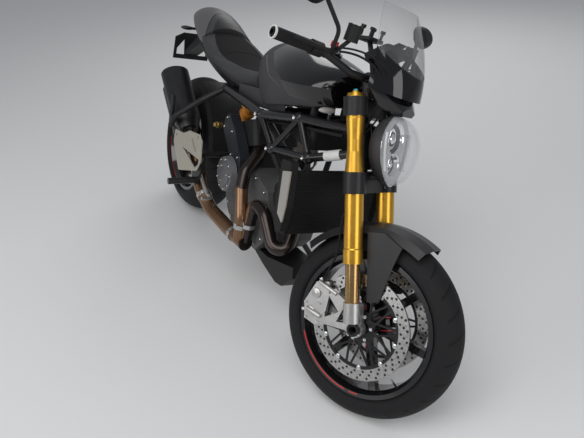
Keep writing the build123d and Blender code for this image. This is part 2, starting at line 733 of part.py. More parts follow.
lid_height = 1006 + seat_gap + 4
lid_radius = 36
hinge_x = filler_x + lid_radius + 6
lid_plate = Pos(filler_x, 0, lid_height) * Cylinder(lid_radius, 8)
lid_tongue = Pos(hinge_x - 8, 0, lid_height) * Box(16, 14, 8)
lid_pin = Pos(hinge_x, 0, lid_height) * Rot(90, 0, 0) * Cylinder(4, 14)
with BuildPart() as filler_lid:
    add(lid_plate + lid_tongue + lid_pin)

seat_table = ((98, 818, 112, 850, 122, 884), (240, 782, 118, 820, 134, 846), (380, 756, 104, 794, 132, 820),
              (500, 746, 86, 796, 112, 822), (600, 758, 58, 826, 80, 860))
with BuildPart() as seat:
    add(moulded(seat_table))

seat_cowl_table = ((-205, 902, 34, 912, 42, 926), (-110, 866, 78, 896, 92, 952), (0, 838, 104, 872, 116, 944),
                   (97, 820, 108, 852, 120, 900))
with BuildPart() as seat_cowl:
    add(moulded(seat_cowl_table))

tail_table = ((-190, 868, 26, 882, 34, 904), (-60, 800, 60, 826, 76, 864), (120, 752, 80, 786, 98, 824),
              (300, 722, 76, 754, 92, 790), (446, 704, 64, 738, 80, 780))
tail_part = moulded(tail_table) - moulded(seat_table) - moulded(seat_cowl_table) - frame_cross - frame_side
with BuildPart() as tail_unit:
    add(tail_part)

with BuildPart() as rear_lamp:
    add(side_slab([(-214, 872), (-191, 872), (-191, 892), (-208, 894)], -30, 30))

plate_arm = side_slab([(-60, 816), (-120, 838), (-312, 700), (-322, 690), (-300, 684), (-110, 790)], -34, 34)
plate_panel_outline = [(-92, 655), (92, 655), (92, 760), (50, 784), (-50, 784), (-92, 760)]
with BuildPart() as plate_panel:
    with BuildSketch(Plane(origin=(-322, 0, 0), x_dir=(0, 1, 0), z_dir=(1, 0, 0))):
        with BuildLine():
            Polyline(*plate_panel_outline, close=True)
        make_face()
        for side in (-1, 1):
            with BuildLine():
                Polyline((side * 36, 676), (side * 78, 676), (side * 78, 706), (side * 44, 752), close=True)
            make_face(mode=Mode.SUBTRACT)
    extrude(amount=6)
with BuildPart() as plate_bracket:
    add(plate_arm + plate_panel.part - tail_part)

# Four turn signals: two under the tail, two beside the steering head on stalks from the frame
# Columns: distance from the centre plane, half length and half height of the almond shaped lens
signal_rows = ((0, 7, 6), (16, 15, 9), (36, 14, 9), (54, 4, 4))


def signal(x, root, z):
    """A turn signal's lens, pointing outwards from its root."""
    sections = []
    for reach, half_length, half_height in signal_rows:
        plane = Plane(origin=(x, root + reach, z), x_dir=(1, 0, 0), z_dir=(0, 1, 0))
        sections.append(plane * Ellipse(half_length, half_height))
    return loft(sections=sections)


rear_signal = signal(-150, 76, 838) + rod((-150, 30, 838), (-150, 78, 838), 6)
front_signal = signal(1118, 60, 864) + rod((1118, 72, 864), (1120, 72, 826), 6)
with BuildPart() as indicators:
    add(both_sides(rear_signal - tail_part) + both_sides(front_signal - frame_side))


# Radiator between frame and front wheel, with its side covers

radiator_half = 170
radiator_core = side_slab([(1118, 660), (1150, 670), (1166, 450), (1134, 440)], -radiator_half, radiator_half, 6)
radiator_bracket = rod((1132, 108, 655), (1116, 108, 692), 7) - frame_side
side_tank_outer = 196
side_tank = side_slab([(1098, 690), (1158, 704), (1184, 560), (1178, 470), (1150, 455), (1116, 500)],
                      radiator_half - 1, side_tank_outer, 6)
with BuildPart() as radiator:
    add(radiator_core + both_sides(side_tank) + both_sides(radiator_bracket))
cover_thickness = 5
radiator_cover = side_slab([(1126, 661), (1172, 678), (1186, 560), (1184, 504), (1146, 522)],
                           side_tank_outer + seat_gap, side_tank_outer + cover_thickness, 3)
with BuildPart() as radiator_covers:
    add(both_sides(radiator_cover))

with BuildPart() as belly_pan:
    add(side_slab([(846, sump_bottom - seat_gap), (884, sump_bottom - seat_gap), (960, 240), (1140, 300),
                   (1152, 262), (1094, 196), (1046, 184), (930, 198), (860, 212)], -84, 84, 6))


# Exhaust: two primaries joined under the engine, then back to a stacked pair of silencers

pipe_radius = 24
rear_primary = pipe([(690, -40, 590), (742, -92, 556), (774, -146, 505), (798, -160, 450), (850, -166, 352),
                     (862, -162, 262)], pipe_radius, 60)
front_primary = pipe([(1030, -40, 430), (1088, -92, 340), (1050, -128, 332), (958, -136, 424), (876, -136, 424),
                      (872, -144, 265)], pipe_radius, 52)
silencer_front = Vector(318, -205, 500)
silencer_axis = Vector(-273, -8, 192).normalized()
silencer_shift = Vector(-62, 38, -84)
lower_front = silencer_front + silencer_shift
collector = pipe([(892, -148, 260), (760, -158, 252), (600, -182, 268), (505, -196, 320),
                  tuple(silencer_front - silencer_axis * 144), tuple(silencer_front - silencer_axis * seat_gap)],
                 pipe_radius + 4, 120)
lower_link = pipe([(520, -194, 312), (400, -178, 335), tuple(lower_front - silencer_axis * 60),
                   tuple(lower_front - silencer_axis * seat_gap)], pipe_radius - 2, 60)
with BuildPart() as exhaust_pipes:
    add(rear_primary + front_primary + collector + lower_link - cylinder_part - crankcase)

silencer_length = 300
silencer_cone = 60
outlet_radius = 26
outlet_depth = 70
with BuildPart() as silencers:
    for start in (silencer_front, lower_front):
        section_plane = Plane(origin=start, x_dir=(0, 1, 0), z_dir=silencer_axis)
        with BuildSketch(section_plane):
            Ellipse(40, 34)
        with BuildSketch(section_plane.offset(silencer_cone)):
            Ellipse(62, 53)
        loft()
        with BuildSketch(section_plane.offset(silencer_cone)):
            Ellipse(62, 53)
        extrude(amount=silencer_length - silencer_cone)
        with BuildSketch(section_plane.offset(silencer_length - outlet_depth)):
            Circle(outlet_radius)
        extrude(amount=outlet_depth, mode=Mode.SUBTRACT)


# Swingarm on the left, rear hub carrier with the caliper, final drive


def above_axle(points):
    """Points of a side view whose heights are counted from the rear axle."""
    return [(x, rear_radius + z) for x, z in points]


arm_inner = crankcase_half_width + seat_gap
arm_outer = 128
arm_end = above_axle([(70, 85.5), (-44, 81.5), (-98, 31.5), (-98, -32.5), (-44, -82.5), (60, -80.5)])
arm_outline = [(576, 438), (560, 450), (420, 424)] + arm_end + [(420, 350), (560, 357), (576, 369)]
arm_side = side_slab(arm_outline, arm_inner, arm_outer, 8)
arm_bridge = side_slab([(549, 438), (430, 416), (430, 362), (549, 368)], -96, arm_inner, 8)
hub_room = drum(rear_axle_point, hub_carrier_radius + seat_gap, 90, 140)
with BuildPart() as swingarm:
    add(arm_side - hub_room)
with BuildPart() as swingarm_bridge:
    add(arm_bridge)

hub_shell = drum(rear_axle_point, hub_carrier_radius, 62, 129, hub_bore_radius + running_gap)
caliper_mount = side_slab(above_axle([(-60, -20.5), (-150, -28.5), (-150, 31.5), (-60, 29.5)]), 66, 76)
rear_caliper = side_slab(above_axle([(-96, -34.5), (-158, -40.5), (-158, 41.5), (-96, 37.5)]), 36, 74, 6)
rear_slot = drum(rear_axle_point, rear_disc_radius + 5, rear_disc_offset - 8, rear_disc_offset + 8)
with BuildPart() as hub_carrier:
    add(hub_shell + caliper_mount + rear_caliper - rear_slot)

axle_tube = drum(rear_axle_point, hub_bore_radius, -62, 162, stand_bore_radius)
wheel_nut = drum(rear_axle_point, 34, -82, rear_hub_inner - seat_gap, stand_bore_radius)
sprocket_teeth = 42
tooth_depth = 8
window_count = 6
window_radius = 15
window_ring = 62
with BuildPart() as sprocket:
    with BuildSketch(Plane(origin=(0, chain_line - 3, rear_radius), x_dir=(1, 0, 0), z_dir=(0, -1, 0))):
        step_angle = 180 / sprocket_teeth
        corners = []
        for number in range(2 * sprocket_teeth):
            corner_radius = sprocket_radius - tooth_depth * (number % 2)
            corners.append(Vector(corner_radius, 0).rotate(Axis.Z, number * step_angle))
        Polygon(*[(corner.X, corner.Y) for corner in corners], align=None)
        Circle(hub_bore_radius + running_gap, mode=Mode.SUBTRACT)
        with PolarLocations(window_ring, window_count):
            Circle(window_radius, mode=Mode.SUBTRACT)
    extrude(amount=-6)
with BuildPart() as rear_axle:
    add(axle_tube + wheel_nut)
with BuildPart() as rear_sprocket:
    add(sprocket.part)


plate_thickness = 3
link_pitch = 15.875
waist_depth = 2.6
roller_half = 2


def chain_outline(offset):
    """The closed path of the chain around both sprockets, moved outwards by an offset."""
    big = chain_pitch_radius + offset
    small = front_sprocket_radius + offset
    span = Vector(front_sprocket_x, front_sprocket_z) - Vector(0, rear_radius)
    tilt = degrees(atan2(span.Y, span.X))
    lap = radians(90) - (big - small) / span.length
    with BuildSketch(Plane(origin=(0, chain_line - chain_width / 2, rear_radius), x_dir=(1, 0, 0),
                           z_dir=(0, -1, 0)), mode=Mode.PRIVATE) as loop:
        with BuildLine():
            top_rear = Vector(big * cos(lap), big * sin(lap))
            top_front = Vector(span.length + small * cos(lap), small * sin(lap))
            Line(top_rear, top_front)
            ThreePointArc(top_front, (span.length + small, 0), (top_front.X, -top_front.Y))
            Line((top_front.X, -top_front.Y), (top_rear.X, -top_rear.Y))
            ThreePointArc((top_rear.X, -top_rear.Y), (-big, 0), top_rear)
        make_face()
    return loop.sketch.rotate(Axis((0, 0, rear_radius), (0, -1, 0)), tilt)


def chain_loop(width):
    """The chain's band of a given width, a closed loop around both sprockets."""
    loop = chain_outline(roller_half) - chain_outline(-roller_half)
    return extrude(loop, amount=-width)


chain_span = Vector(front_sprocket_x, front_sprocket_z - rear_radius)
lap_angle = acos((chain_pitch_radius - front_sprocket_radius) / chain_span.length)
run_length = chain_span.length * sin(lap_angle)
front_arc = 2 * lap_angle * front_sprocket_radius
rear_arc = (radians(360) - 2 * lap_angle) * chain_pitch_radius
loop_length = 2 * run_length + front_arc + rear_arc
link_count = round(loop_length / link_pitch)
span_angle = atan2(chain_span.Y, chain_span.X)


def chain_point(distance, offset):
    """A point beside the chain's path, from the rear sprocket's top forwards and round."""
    far_angle = span_angle + lap_angle
    run = Vector(sin(far_angle), -cos(far_angle)) * distance
    centre, radius, angle = Vector(0, 0), chain_pitch_radius, far_angle
    if distance > 2 * run_length + front_arc:
        turned = (loop_length - distance) / chain_pitch_radius
        angle = far_angle + turned
        run = Vector(0, 0)
    elif distance > run_length + front_arc:
        angle = span_angle - lap_angle
        run = Vector(-sin(angle), cos(angle)) * (2 * run_length + front_arc - distance)
    elif distance > run_length:
        centre, radius = chain_span, front_sprocket_radius
        angle = far_angle - (distance - run_length) / front_sprocket_radius
        run = Vector(0, 0)
    place = centre + run + Vector(cos(angle), sin(angle)) * (radius + offset)
    return place.X, place.Y


plate_rings = []
for side in (1, -1):
    ring = []
    for number in range(2 * link_count):
        depth = chain_height / 2 - waist_depth * (number % 2)
        ring.append(chain_point(number * loop_length / (2 * link_count), side * depth))
    plate_rings.append(ring)
with BuildPart() as chain:
    for near in (chain_line - chain_width / 2, chain_line + chain_width / 2 - plate_thickness):
        with BuildSketch(Plane(origin=(0, near, rear_radius), x_dir=(1, 0, 0), z_dir=(0, -1, 0))):
            Polygon(*plate_rings[0], align=None)
            Polygon(*plate_rings[1], align=None, mode=Mode.SUBTRACT)
        extrude(amount=-plate_thickness)
    add(Pos(0, plate_thickness, 0) * chain_loop(chain_width - 2 * plate_thickness))

shock_top = Vector(540, -52, 714)
shock_bottom = Vector(441, -52, 425)
spring_start = 26
spring_pitch = 31
spring_turns = 7
coil_radius = 31
coil_root = 24
shock_axis = (shock_bottom - shock_top).normalized()
spring_rows = [(0, spring_start)]
for turn in range(spring_turns):
    along_spring = spring_start + turn * spring_pitch
    spring_rows += [(coil_root, along_spring), (coil_radius, along_spring + 6), (coil_radius, along_spring + 13),
                    (coil_root, along_spring + 19)]
spring_rows.append((0, spring_start + (spring_turns - 1) * spring_pitch + 19))
with BuildPart() as shock_absorber:
    with BuildSketch(Plane(origin=shock_top, x_dir=(0, 1, 0), z_dir=Vector(0, 1, 0).cross(shock_axis))):
        with BuildLine():
            Polyline(*spring_rows, close=True)
        make_face()
    revolve(axis=Axis(shock_top, shock_axis))
    add(rod(tuple(shock_top), tuple(shock_bottom), 12))

hugger_room = 13.5
hugger_thickness = 4
hugger_drop = 12
hugger_inside = rear_radius + hugger_room
hugger_edge = hugger_inside - hugger_drop
hugger_top = hugger_inside + hugger_thickness
hugger_ring = wheel_ring(rear_axle_point, [
    (-96, hugger_edge), (-84, hugger_inside), (84, hugger_inside), (96, hugger_edge), (100, hugger_edge),
    (86, hugger_top), (-86, hugger_top), (-100, hugger_edge)])
lug_z = rear_radius + 68.5
hugger_lug = rod((319, 92, lug_z), (319, arm_inner - seat_gap, lug_z), 7)
hugger_sector = side_slab(above_axle([(0, -0.5), (700, 79.5), (700, 579.5), (120, 579.5)]), -110, 110)
with BuildPart() as rear_hugger:
    add((hugger_ring & hugger_sector) + hugger_lug)


# Heel guards on the footrest hangers, passenger arms, pedals

hanger_inner = 230
hanger_outer = 240
heel_inner = 262
heel_thickness = 4
heel_outline = [(313, 500), (413, 518), (474, 551), (576, 572), (609, 556), (627, 481), (596, 429), (412, 355),
                (383, 380), (314, 444)]
heel_window = [(420, 462), (606, 480), (606, 462), (578, 434)]
heel_slot = [(507, 526), (511, 534), (566, 501), (562, 493)]
heel_holes = ((338, 485), (568, 558))
heel_part = side_slab(heel_outline, heel_inner, heel_inner + heel_thickness, 8)
for opening in (heel_window, heel_slot):
    heel_part = heel_part - side_slab(opening, heel_inner - 1, heel_inner + heel_thickness + 1)
for x, z in heel_holes:
    heel_part = heel_part - rod((x, heel_inner - 1, z), (x, heel_inner + heel_thickness + 1, z), 6)
with BuildPart() as heel_guards:
    add(both_sides(heel_part))
hanger = side_slab([(596, 505), (556, 505), (505, 410), (500, 352), (545, 345), (585, 430)], hanger_inner,
                   hanger_outer, 5)
hanger += rod((530, hanger_outer - 4, 362), (522, 345, 352), 13)
hanger += rod((576, 100, 492), (576, hanger_outer - 4, 492), 11)
for x, z in ((560, 478), (538, 426)):
    hanger += rod((x, hanger_outer - 4, z), (x, heel_inner - seat_gap, z), 8)
hanger = hanger - crankcase
rear_arm = pipe([(430, 132, 716), (400, 215, 650), (330, 284, 560), (302, 284, 512)], 12, 60)
rear_arm += rod((302, 284, 512), (284, 282, 636), 10)
rear_arm = rear_arm - frame_side
with BuildPart() as footrests:
    add(both_sides(hanger + rear_arm))
pedal_radius = 7
pedal_y = hanger_inner - pedal_radius - seat_gap
pedal = pipe([(540, pedal_y, 395), (640, pedal_y, 350), (700, pedal_y, 360), (706, 272, 362)], pedal_radius, 30)
with BuildPart() as foot_levers:
    add(both_sides(pedal))


# Side stand, deployed: its foot lies flat on the floor. It turns on a bolt through an engine boss

stand_foot_z = floor_height(stand_foot_x, stand_foot_y)
stand_end = Vector(stand_foot_x, stand_foot_y, stand_foot_z + 12)
folded = Vector(-1, 0.28, -0.06)
stand_axis = (stand_end - stand_pivot).cross(folded).normalized()
knuckle_half = 13
knuckle_radius = 17
boss_reach = 44
floor_up = ((chassis_place.inverse() * Pos(0, 0, 1)).position
            - (chassis_place.inverse() * Pos(0, 0, 0)).position)
knuckle_start = stand_pivot - stand_axis * knuckle_half
knuckle_end = stand_pivot + stand_axis * knuckle_half
stand_leg = rod(stand_pivot, stand_end, stand_tube_radius) + rod(knuckle_start, knuckle_end, knuckle_radius)
stand_bore = rod(knuckle_start - stand_axis, knuckle_end + stand_axis, stand_bolt_radius + running_gap)
with BuildPart() as stand_foot:
    with BuildSketch(Plane(origin=(stand_foot_x, stand_foot_y, stand_foot_z), x_dir=(1, 0, 0), z_dir=floor_up)):
        RectangleRounded(64, 44, 12)
    extrude(amount=9)
with BuildPart() as side_stand:
    add(stand_leg + stand_foot.part - stand_bore)

stand_boss = rod(stand_pivot - stand_axis * boss_reach, knuckle_start - stand_axis * seat_gap, 16)
stand_bolt = rod(knuckle_start - stand_axis * 20, knuckle_end + stand_axis * 7, stand_bolt_radius)
stand_bolt += rod(knuckle_end + stand_axis * seat_gap, knuckle_end + stand_axis * 7, 11)
sprocket_place = Vector(front_sprocket_x, 0, front_sprocket_z)
drive_sprocket = drum(sprocket_place, front_sprocket_radius - chain_height / 2 - seat_gap, chain_line - 3,
                      chain_line + 3)
drive_shaft = drum(sprocket_place, 15, crankcase_half_width - 1, chain_line + 6)
with BuildPart() as engine_block:
    add(crankcase + stand_boss + stand_bolt + drive_sprocket + drive_shaft)


# Every piece in its place

chassis_pieces = {"trellis_frame": trellis_frame, "airbox": airbox, "engine_block": engine_block,
                  "cylinders": cylinders, "engine_covers": engine_covers, "belt_covers": belt_covers,
                  "fuel_tank": fuel_tank, "filler_lid": filler_lid, "seat": seat, "seat_cowl": seat_cowl,
                  "tail_unit": tail_unit, "rear_lamp": rear_lamp, "plate_bracket": plate_bracket,
                  "indicators": indicators, "swingarm": swingarm, "swingarm_bridge": swingarm_bridge,
                  "hub_carrier": hub_carrier, "chain": chain,
                  "shock_absorber": shock_absorber, "exhaust_pipes": exhaust_pipes, "silencers": silencers,
                  "heel_guards": heel_guards, "footrests": footrests, "foot_levers": foot_levers,
                  "radiator": radiator, "radiator_covers": radiator_covers, "belly_pan": belly_pan,
                  "rear_hugger": rear_hugger, "rear_tyre": rear_tyre, "rear_rim": rear_rim,
                  "rear_disc": rear_disc, "rear_axle": rear_axle, "rear_sprocket": rear_sprocket,
                  "side_stand": side_stand}
fork_pieces = {"fork_yokes": fork_yokes, "bar_clamps": bar_clamps, "fork_tubes": fork_tubes,
               "fork_stanchions": fork_stanchions, "fork_feet": fork_feet, "front_axle": front_axle,
               "front_calipers": front_calipers, "headlight_bowl": headlight_bowl,
               "headlight_lens": headlight_lens, "nose_cowl": nose_cowl, "screen": screen,
               "instruments": instruments, "handlebar": handlebar, "grips": grips,
               "hand_controls": hand_controls, "mirrors": mirrors, "front_mudguard": front_mudguard,
               "brake_hoses": brake_hoses, "front_tyre": front_tyre, "front_rim": front_rim,
               "front_discs": front_discs}

placed = {}
for pieces, place in ((chassis_pieces, chassis_place), (fork_pieces, fork_place)):
    for name, piece in pieces.items():
        piece.part.label = name
        placed[name] = piece.part.moved(place)

# The origin is under the middle of the whole motorcycle, on the floor
boxes = [piece.bounding_box() for piece in placed.values()]
low_corner = Vector(*(min(getattr(box.min, axis) for box in boxes) for axis in "XYZ"))
high_corner = Vector(*(max(getattr(box.max, axis) for box in boxes) for axis in "XYZ"))
shift = Pos(-(low_corner.X + high_corner.X) / 2, -(low_corner.Y + high_corner.Y) / 2, -low_corner.Z)
print("size", high_corner - low_corner, "lowest", low_corner.Z, "pitch", pitch)
for name, piece in placed.items():
    done = piece.moved(shift)
    done.label = name
    size = done.bounding_box()
    print(name, len(done.solids()), round(done.volume / 1000), [round(v) for v in (*size.min, *size.max)])
    export_step(done, f"parts/{name}.step")

# Places and directions of the joints and mounts: frame, point, direction
bar_outward = (Vector(*bar_end) - Vector(*bar_bend)).normalized()
axis_rows = {"steering": (fork_place, Vector(0, 0, (head_tube_bottom + head_tube_top) / 2), Vector(0, 0, 1)),
             "front_wheel_spin": (fork_place, front_axle_point, Vector(0, 1, 0)),
             "rear_wheel_spin": (chassis_place, rear_axle_point, Vector(0, 1, 0)),
             "side_stand_hinge": (chassis_place, stand_pivot, stand_axis),
             "filler_lid_hinge": (chassis_place, Vector(hinge_x, 0, lid_height), Vector(0, 1, 0)),
             "front_axle_bore": (fork_place, front_axle_point, Vector(0, 1, 0)),
             "left_bar_end": (fork_place, Vector(*bar_end), bar_outward),
             "right_bar_end": (fork_place, Vector(bar_end[0], -bar_end[1], bar_end[2]),
                               Vector(bar_outward.X, -bar_outward.Y, bar_outward.Z)),
             "chassis_frame": (chassis_place, Vector(0, 0, 0), Vector(1, 0, 0)),
             "chassis_up": (chassis_place, Vector(0, 0, 0), Vector(0, 0, 1))}
for name, (place, point, direction) in axis_rows.items():
    here = (shift * place * Pos(*point)).position
    there = (shift * place * Pos(*(point + direction))).position
    print("axis", name, [round(v, 4) for v in here], [round(v, 6) for v in there - here])
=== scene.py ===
# %% [markdown]
# A naked road motorcycle with a V-twin engine hung under a short frame of black tubes. It leans on its
# side stand with the steering turned to the left stop. The solids come from the construction model, in
# metres, and this script dresses them: materials for every solid, and new pieces where the real thing has
# finer forms than the solids do. The construction model is loaded first, because everything is measured
# from it.

# %% Load the construction model
from math import cos, pi, radians, sin

import bmesh
import bpy
from mathutils import Matrix, Vector


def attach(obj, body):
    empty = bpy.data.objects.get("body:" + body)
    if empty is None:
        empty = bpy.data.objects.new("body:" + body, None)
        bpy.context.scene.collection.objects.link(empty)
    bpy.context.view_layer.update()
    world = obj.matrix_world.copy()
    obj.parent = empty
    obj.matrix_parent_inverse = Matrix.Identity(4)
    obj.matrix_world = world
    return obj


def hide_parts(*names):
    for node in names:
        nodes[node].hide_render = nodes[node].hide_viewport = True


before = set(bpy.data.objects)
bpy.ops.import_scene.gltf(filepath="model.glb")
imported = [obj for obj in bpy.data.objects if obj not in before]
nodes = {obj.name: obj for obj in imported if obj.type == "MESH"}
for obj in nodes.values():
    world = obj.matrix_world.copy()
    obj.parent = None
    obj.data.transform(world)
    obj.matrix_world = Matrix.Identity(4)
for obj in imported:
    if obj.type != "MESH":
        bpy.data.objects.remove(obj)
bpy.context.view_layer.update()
scene = bpy.context.scene
scene.view_settings.view_transform = "Standard"

# %% [markdown]
# The photograph was taken from the front right, a little above the tank, with a slightly wide lens. A
# camera looks along its own -Z with +Y up, so its matrix has the picture's right, up and backward
# directions as its columns. The focal length comes from the picture's width: the focal length in pixels
# over the width in pixels, times the sensor's width.

# %% Camera of the photograph
picture_width = 584
focal_pixels = 615.965
sensor_width = 36
camera_place = (1.973709, -0.973196, 1.589714)
view_right = Vector((0.460447, 0.886794, -0.039814))
view_down = Vector((0.454827, -0.274200, -0.847318))
view_forward = Vector((-0.762312, 0.372037, -0.529592))
camera_data = bpy.data.cameras.new("photo_camera")
camera_data.sensor_width = sensor_width
camera_data.lens = sensor_width * focal_pixels / picture_width
photo_camera = bpy.data.objects.new("photo_camera", camera_data)
scene.collection.objects.link(photo_camera)
camera_turn = Matrix((view_right, -view_down, -view_forward)).transposed()
photo_camera.matrix_world = Matrix.Translation(camera_place) @ camera_turn.to_4x4()
scene.camera = photo_camera
print("lens", round(camera_data.lens, 2), "mm")

# %% [markdown]
# A plain pale floor carries the motorcycle's shadow. Two helpers start here, because the floor is the
# first thing that needs them: one makes an object from a bmesh, the other a material with its shader.

# %% Floor


def shader(material_name):
    """A new material, its Principled shader and its node tree."""
    material = bpy.data.materials.new(material_name)
    material.use_nodes = True
    tree = material.node_tree
    return material, tree.nodes["Principled BSDF"], tree


def new_object(name, shape, smooth=None):
    """A mesh object at the origin, linked to the scene. Faces meeting under the angle smooth look round."""
    mesh = bpy.data.meshes.new(name)
    shape.to_mesh(mesh)
    shape.free()
    thing = bpy.data.objects.new(name, mesh)
    scene.collection.objects.link(thing)
    if smooth is not None:
        mesh.shade_smooth()
        mesh.set_sharp_from_angle(angle=radians(smooth))
    return thing


floor_half = 14
floor_shape = bmesh.new()
bmesh.ops.create_grid(floor_shape, x_segments=1, y_segments=1, size=floor_half)
floor = new_object("studio_floor", floor_shape)
floor_paint, floor_shade = shader("studio_floor")[:2]
floor_shade.inputs["Base Color"].default_value = (0.80, 0.80, 0.80, 1)
floor_shade.inputs["Roughness"].default_value = 0.7
floor.data.materials.append(floor_paint)
print("floor", 2 * floor_half, "m wide")

# %% [markdown]
# Most of the motorcycle is black, and black shows its form only by what it mirrors. Four large soft lights
# give long, quiet highlights: one above the front right, one on the right side, one in front and one
# behind on the left. Each is aimed by the turn that takes a lamp's -Z to its target.

# %% Lights
# Columns: name, place, aimed at, width, height, watts
light_rows = (("key_light", (1.6, -1.6, 3.6), (0, 0, 0.5), 2.6, 2.6, 62),
              ("side_light", (0.4, -4.2, 1.9), (0, 0, 0.6), 2.4, 1.6, 34),
              ("front_light", (4.4, 0.6, 1.6), (0.3, 0, 0.5), 2.0, 1.6, 30),
              ("back_light", (-2.6, 2.6, 2.8), (0, 0, 0.5), 2.4, 2.0, 34))
for name, place, target, width, height, watts in light_rows:
    lamp_data = bpy.data.lights.new(name, "AREA")
    lamp_data.shape = "RECTANGLE"
    lamp_data.size, lamp_data.size_y, lamp_data.energy = width, height, watts
    lamp_object = bpy.data.objects.new(name, lamp_data)
    aim = (Vector(target) - Vector(place)).to_track_quat("-Z", "Y")
    lamp_object.matrix_world = Matrix.Translation(place) @ aim.to_matrix().to_4x4()
    scene.collection.objects.link(lamp_object)
print(len(light_rows), "lights")

# %% [markdown]
# The world fills the shadows at a plain level. To the camera, and through clear plastic, it is white
# instead, which makes a clean backdrop without putting any more light on the motorcycle.

# %% World
world = bpy.data.worlds.new("studio")
world.use_nodes = True
scene.world = world
sky = world.node_tree
plain_sky = sky.nodes["Background"]
plain_sky.inputs["Color"].default_value = (0.86, 0.88, 0.92, 1)
plain_sky.inputs["Strength"].default_value = 0.34
white_sky = sky.nodes.new("ShaderNodeBackground")
white_sky.inputs["Color"].default_value = (1, 1, 1, 1)
ray = sky.nodes.new("ShaderNodeLightPath")
seen = sky.nodes.new("ShaderNodeMath")
seen.operation = "MAXIMUM"
sky_mix = sky.nodes.new("ShaderNodeMixShader")
for output, socket in ((ray.outputs["Is Camera Ray"], seen.inputs[0]),
                       (ray.outputs["Is Transmission Ray"], seen.inputs[1]),
                       (seen.outputs[0], sky_mix.inputs[0]),
                       (plain_sky.outputs[0], sky_mix.inputs[1]),
                       (white_sky.outputs[0], sky_mix.inputs[2]),
                       (sky_mix.outputs[0], sky.nodes["World Output"].inputs["Surface"])):
    sky.links.new(output, socket)
print("world ready")

# %% [markdown]
# The motorcycle leans and its fork is turned, so nothing on it lines up with the room. New pieces are
# drawn where they are easy to measure: chassis pieces in the motorcycle's own upright frame (X forward
# from the rear contact patch, Y to the rider's left, Z up), fork pieces in the steering frame (Z up the
# steering axis), pieces of the cockpit as if the steering were straight, wheel pieces round their axle and
# the lamp's insides in the lamp's own frame, whose Z points out of it. One matrix for each carries them to
# the room. All lengths in this script are in metres.

# %% Working frames
lean_angle, pitch_angle, rake, stop_angle, lamp_tilt = (radians(v) for v in (16, 0.28656, 23.3, 25, 16))
rear_contact = (-0.7226508, -0.2199615, 0.0037615)
axis_foot = 1.5715
front_axle = Vector((0.0392061, 0, 0.3097478))
rear_axle = Vector((0, 0, 0.3205))
lamp_middle = (1.338, 0, 0.820)


def turned(angle, axis):
    """A turn about an axis, as a matrix."""
    return Matrix.Rotation(angle, 4, axis)


chassis = Matrix.Translation(rear_contact) @ turned(-lean_angle, "X") @ turned(pitch_angle, "Y")
fork = chassis @ Matrix.Translation((axis_foot, 0, 0)) @ turned(-rake, "Y") @ turned(stop_angle, "Z")
straight = (Matrix.Translation((axis_foot, 0, 0)) @ turned(-rake, "Y")).inverted()
cockpit = fork @ straight
front_wheel = fork @ Matrix.Translation(front_axle)
rear_wheel = chassis @ Matrix.Translation(rear_axle)
lamp_basis = Matrix(((0, -sin(lamp_tilt), cos(lamp_tilt)), (1, 0, 0), (0, cos(lamp_tilt), sin(lamp_tilt))))
lamp = cockpit @ Matrix.Translation(lamp_middle) @ lamp_basis.to_4x4()
print("front axle in the room", fork @ front_axle, "rear axle", chassis @ rear_axle)

# %% [markdown]
# Materials are networks of nodes, and the same few steps come back in all of them: set an input or link
# it, find what feeds an input, a noise pattern, a change of range, a mix and a bump. Written once as small
# functions, they let each finish below say only what is special about it. Every pattern reads Object
# coordinates, so it stays on the piece when the piece moves.

# %% Node helpers


def fed(tree, socket, value):
    """Sets an input to a value, or links another node's output to it."""
    if isinstance(value, bpy.types.NodeSocket):
        tree.links.new(value, socket)
    else:
        socket.default_value = value


def source(shade, name):
    """The output that feeds one of a shader's inputs."""
    return shade.inputs[name].links[0].from_socket


def object_point(tree):
    """The shading point in Object coordinates."""
    return tree.nodes.new("ShaderNodeTexCoord").outputs["Object"]


def noise(tree, point, scale, detail):
    """A noise pattern between 0 and 1."""
    node = tree.nodes.new("ShaderNodeTexNoise")
    node.inputs["Scale"].default_value = scale
    node.inputs["Detail"].default_value = detail
    tree.links.new(point, node.inputs["Vector"])
    return node.outputs["Fac"]


def ranged(tree, value, low, high, start=0.0, end=1.0):
    """A value brought from the range start to end into the range low to high."""
    node = tree.nodes.new("ShaderNodeMapRange")
    for name, number in (("From Min", start), ("From Max", end), ("To Min", low), ("To Max", high)):
        node.inputs[name].default_value = number
    tree.links.new(value, node.inputs["Value"])
    return node.outputs[0]


def mixed(tree, kind, amount, first, second):
    """A mix of two colours (kind RGBA) or of two numbers (kind FLOAT)."""
    node = tree.nodes.new("ShaderNodeMix")
    node.data_type = kind
    start = {"FLOAT": 2, "RGBA": 6}[kind]
    for index, value in ((0, amount), (start, first), (start + 1, second)):
        fed(tree, node.inputs[index], value)
    return node.outputs[{"FLOAT": 0, "RGBA": 2}[kind]]


def bumped(tree, shade, height, strength, distance):
    """Adds a bump to the one that a shader already has."""
    node = tree.nodes.new("ShaderNodeBump")
    node.inputs["Strength"].default_value = strength
    node.inputs["Distance"].default_value = distance
    tree.links.new(height, node.inputs["Height"])
    if shade.inputs["Normal"].is_linked:
        tree.links.new(source(shade, "Normal"), node.inputs["Normal"])
    tree.links.new(node.outputs["Normal"], shade.inputs["Normal"])


print("node helpers ready")

# %% [markdown]
# Real surfaces are never one flat colour. Each finish mixes two close colours with a noise texture, varies
# its roughness with the same one, and gets a faint bump from a finer one: orange peel in paint, grain in
# moulded plastic, casting texture in alloy. One function builds that network from a row of numbers.

# %% A helper for finishes
finishes = {}


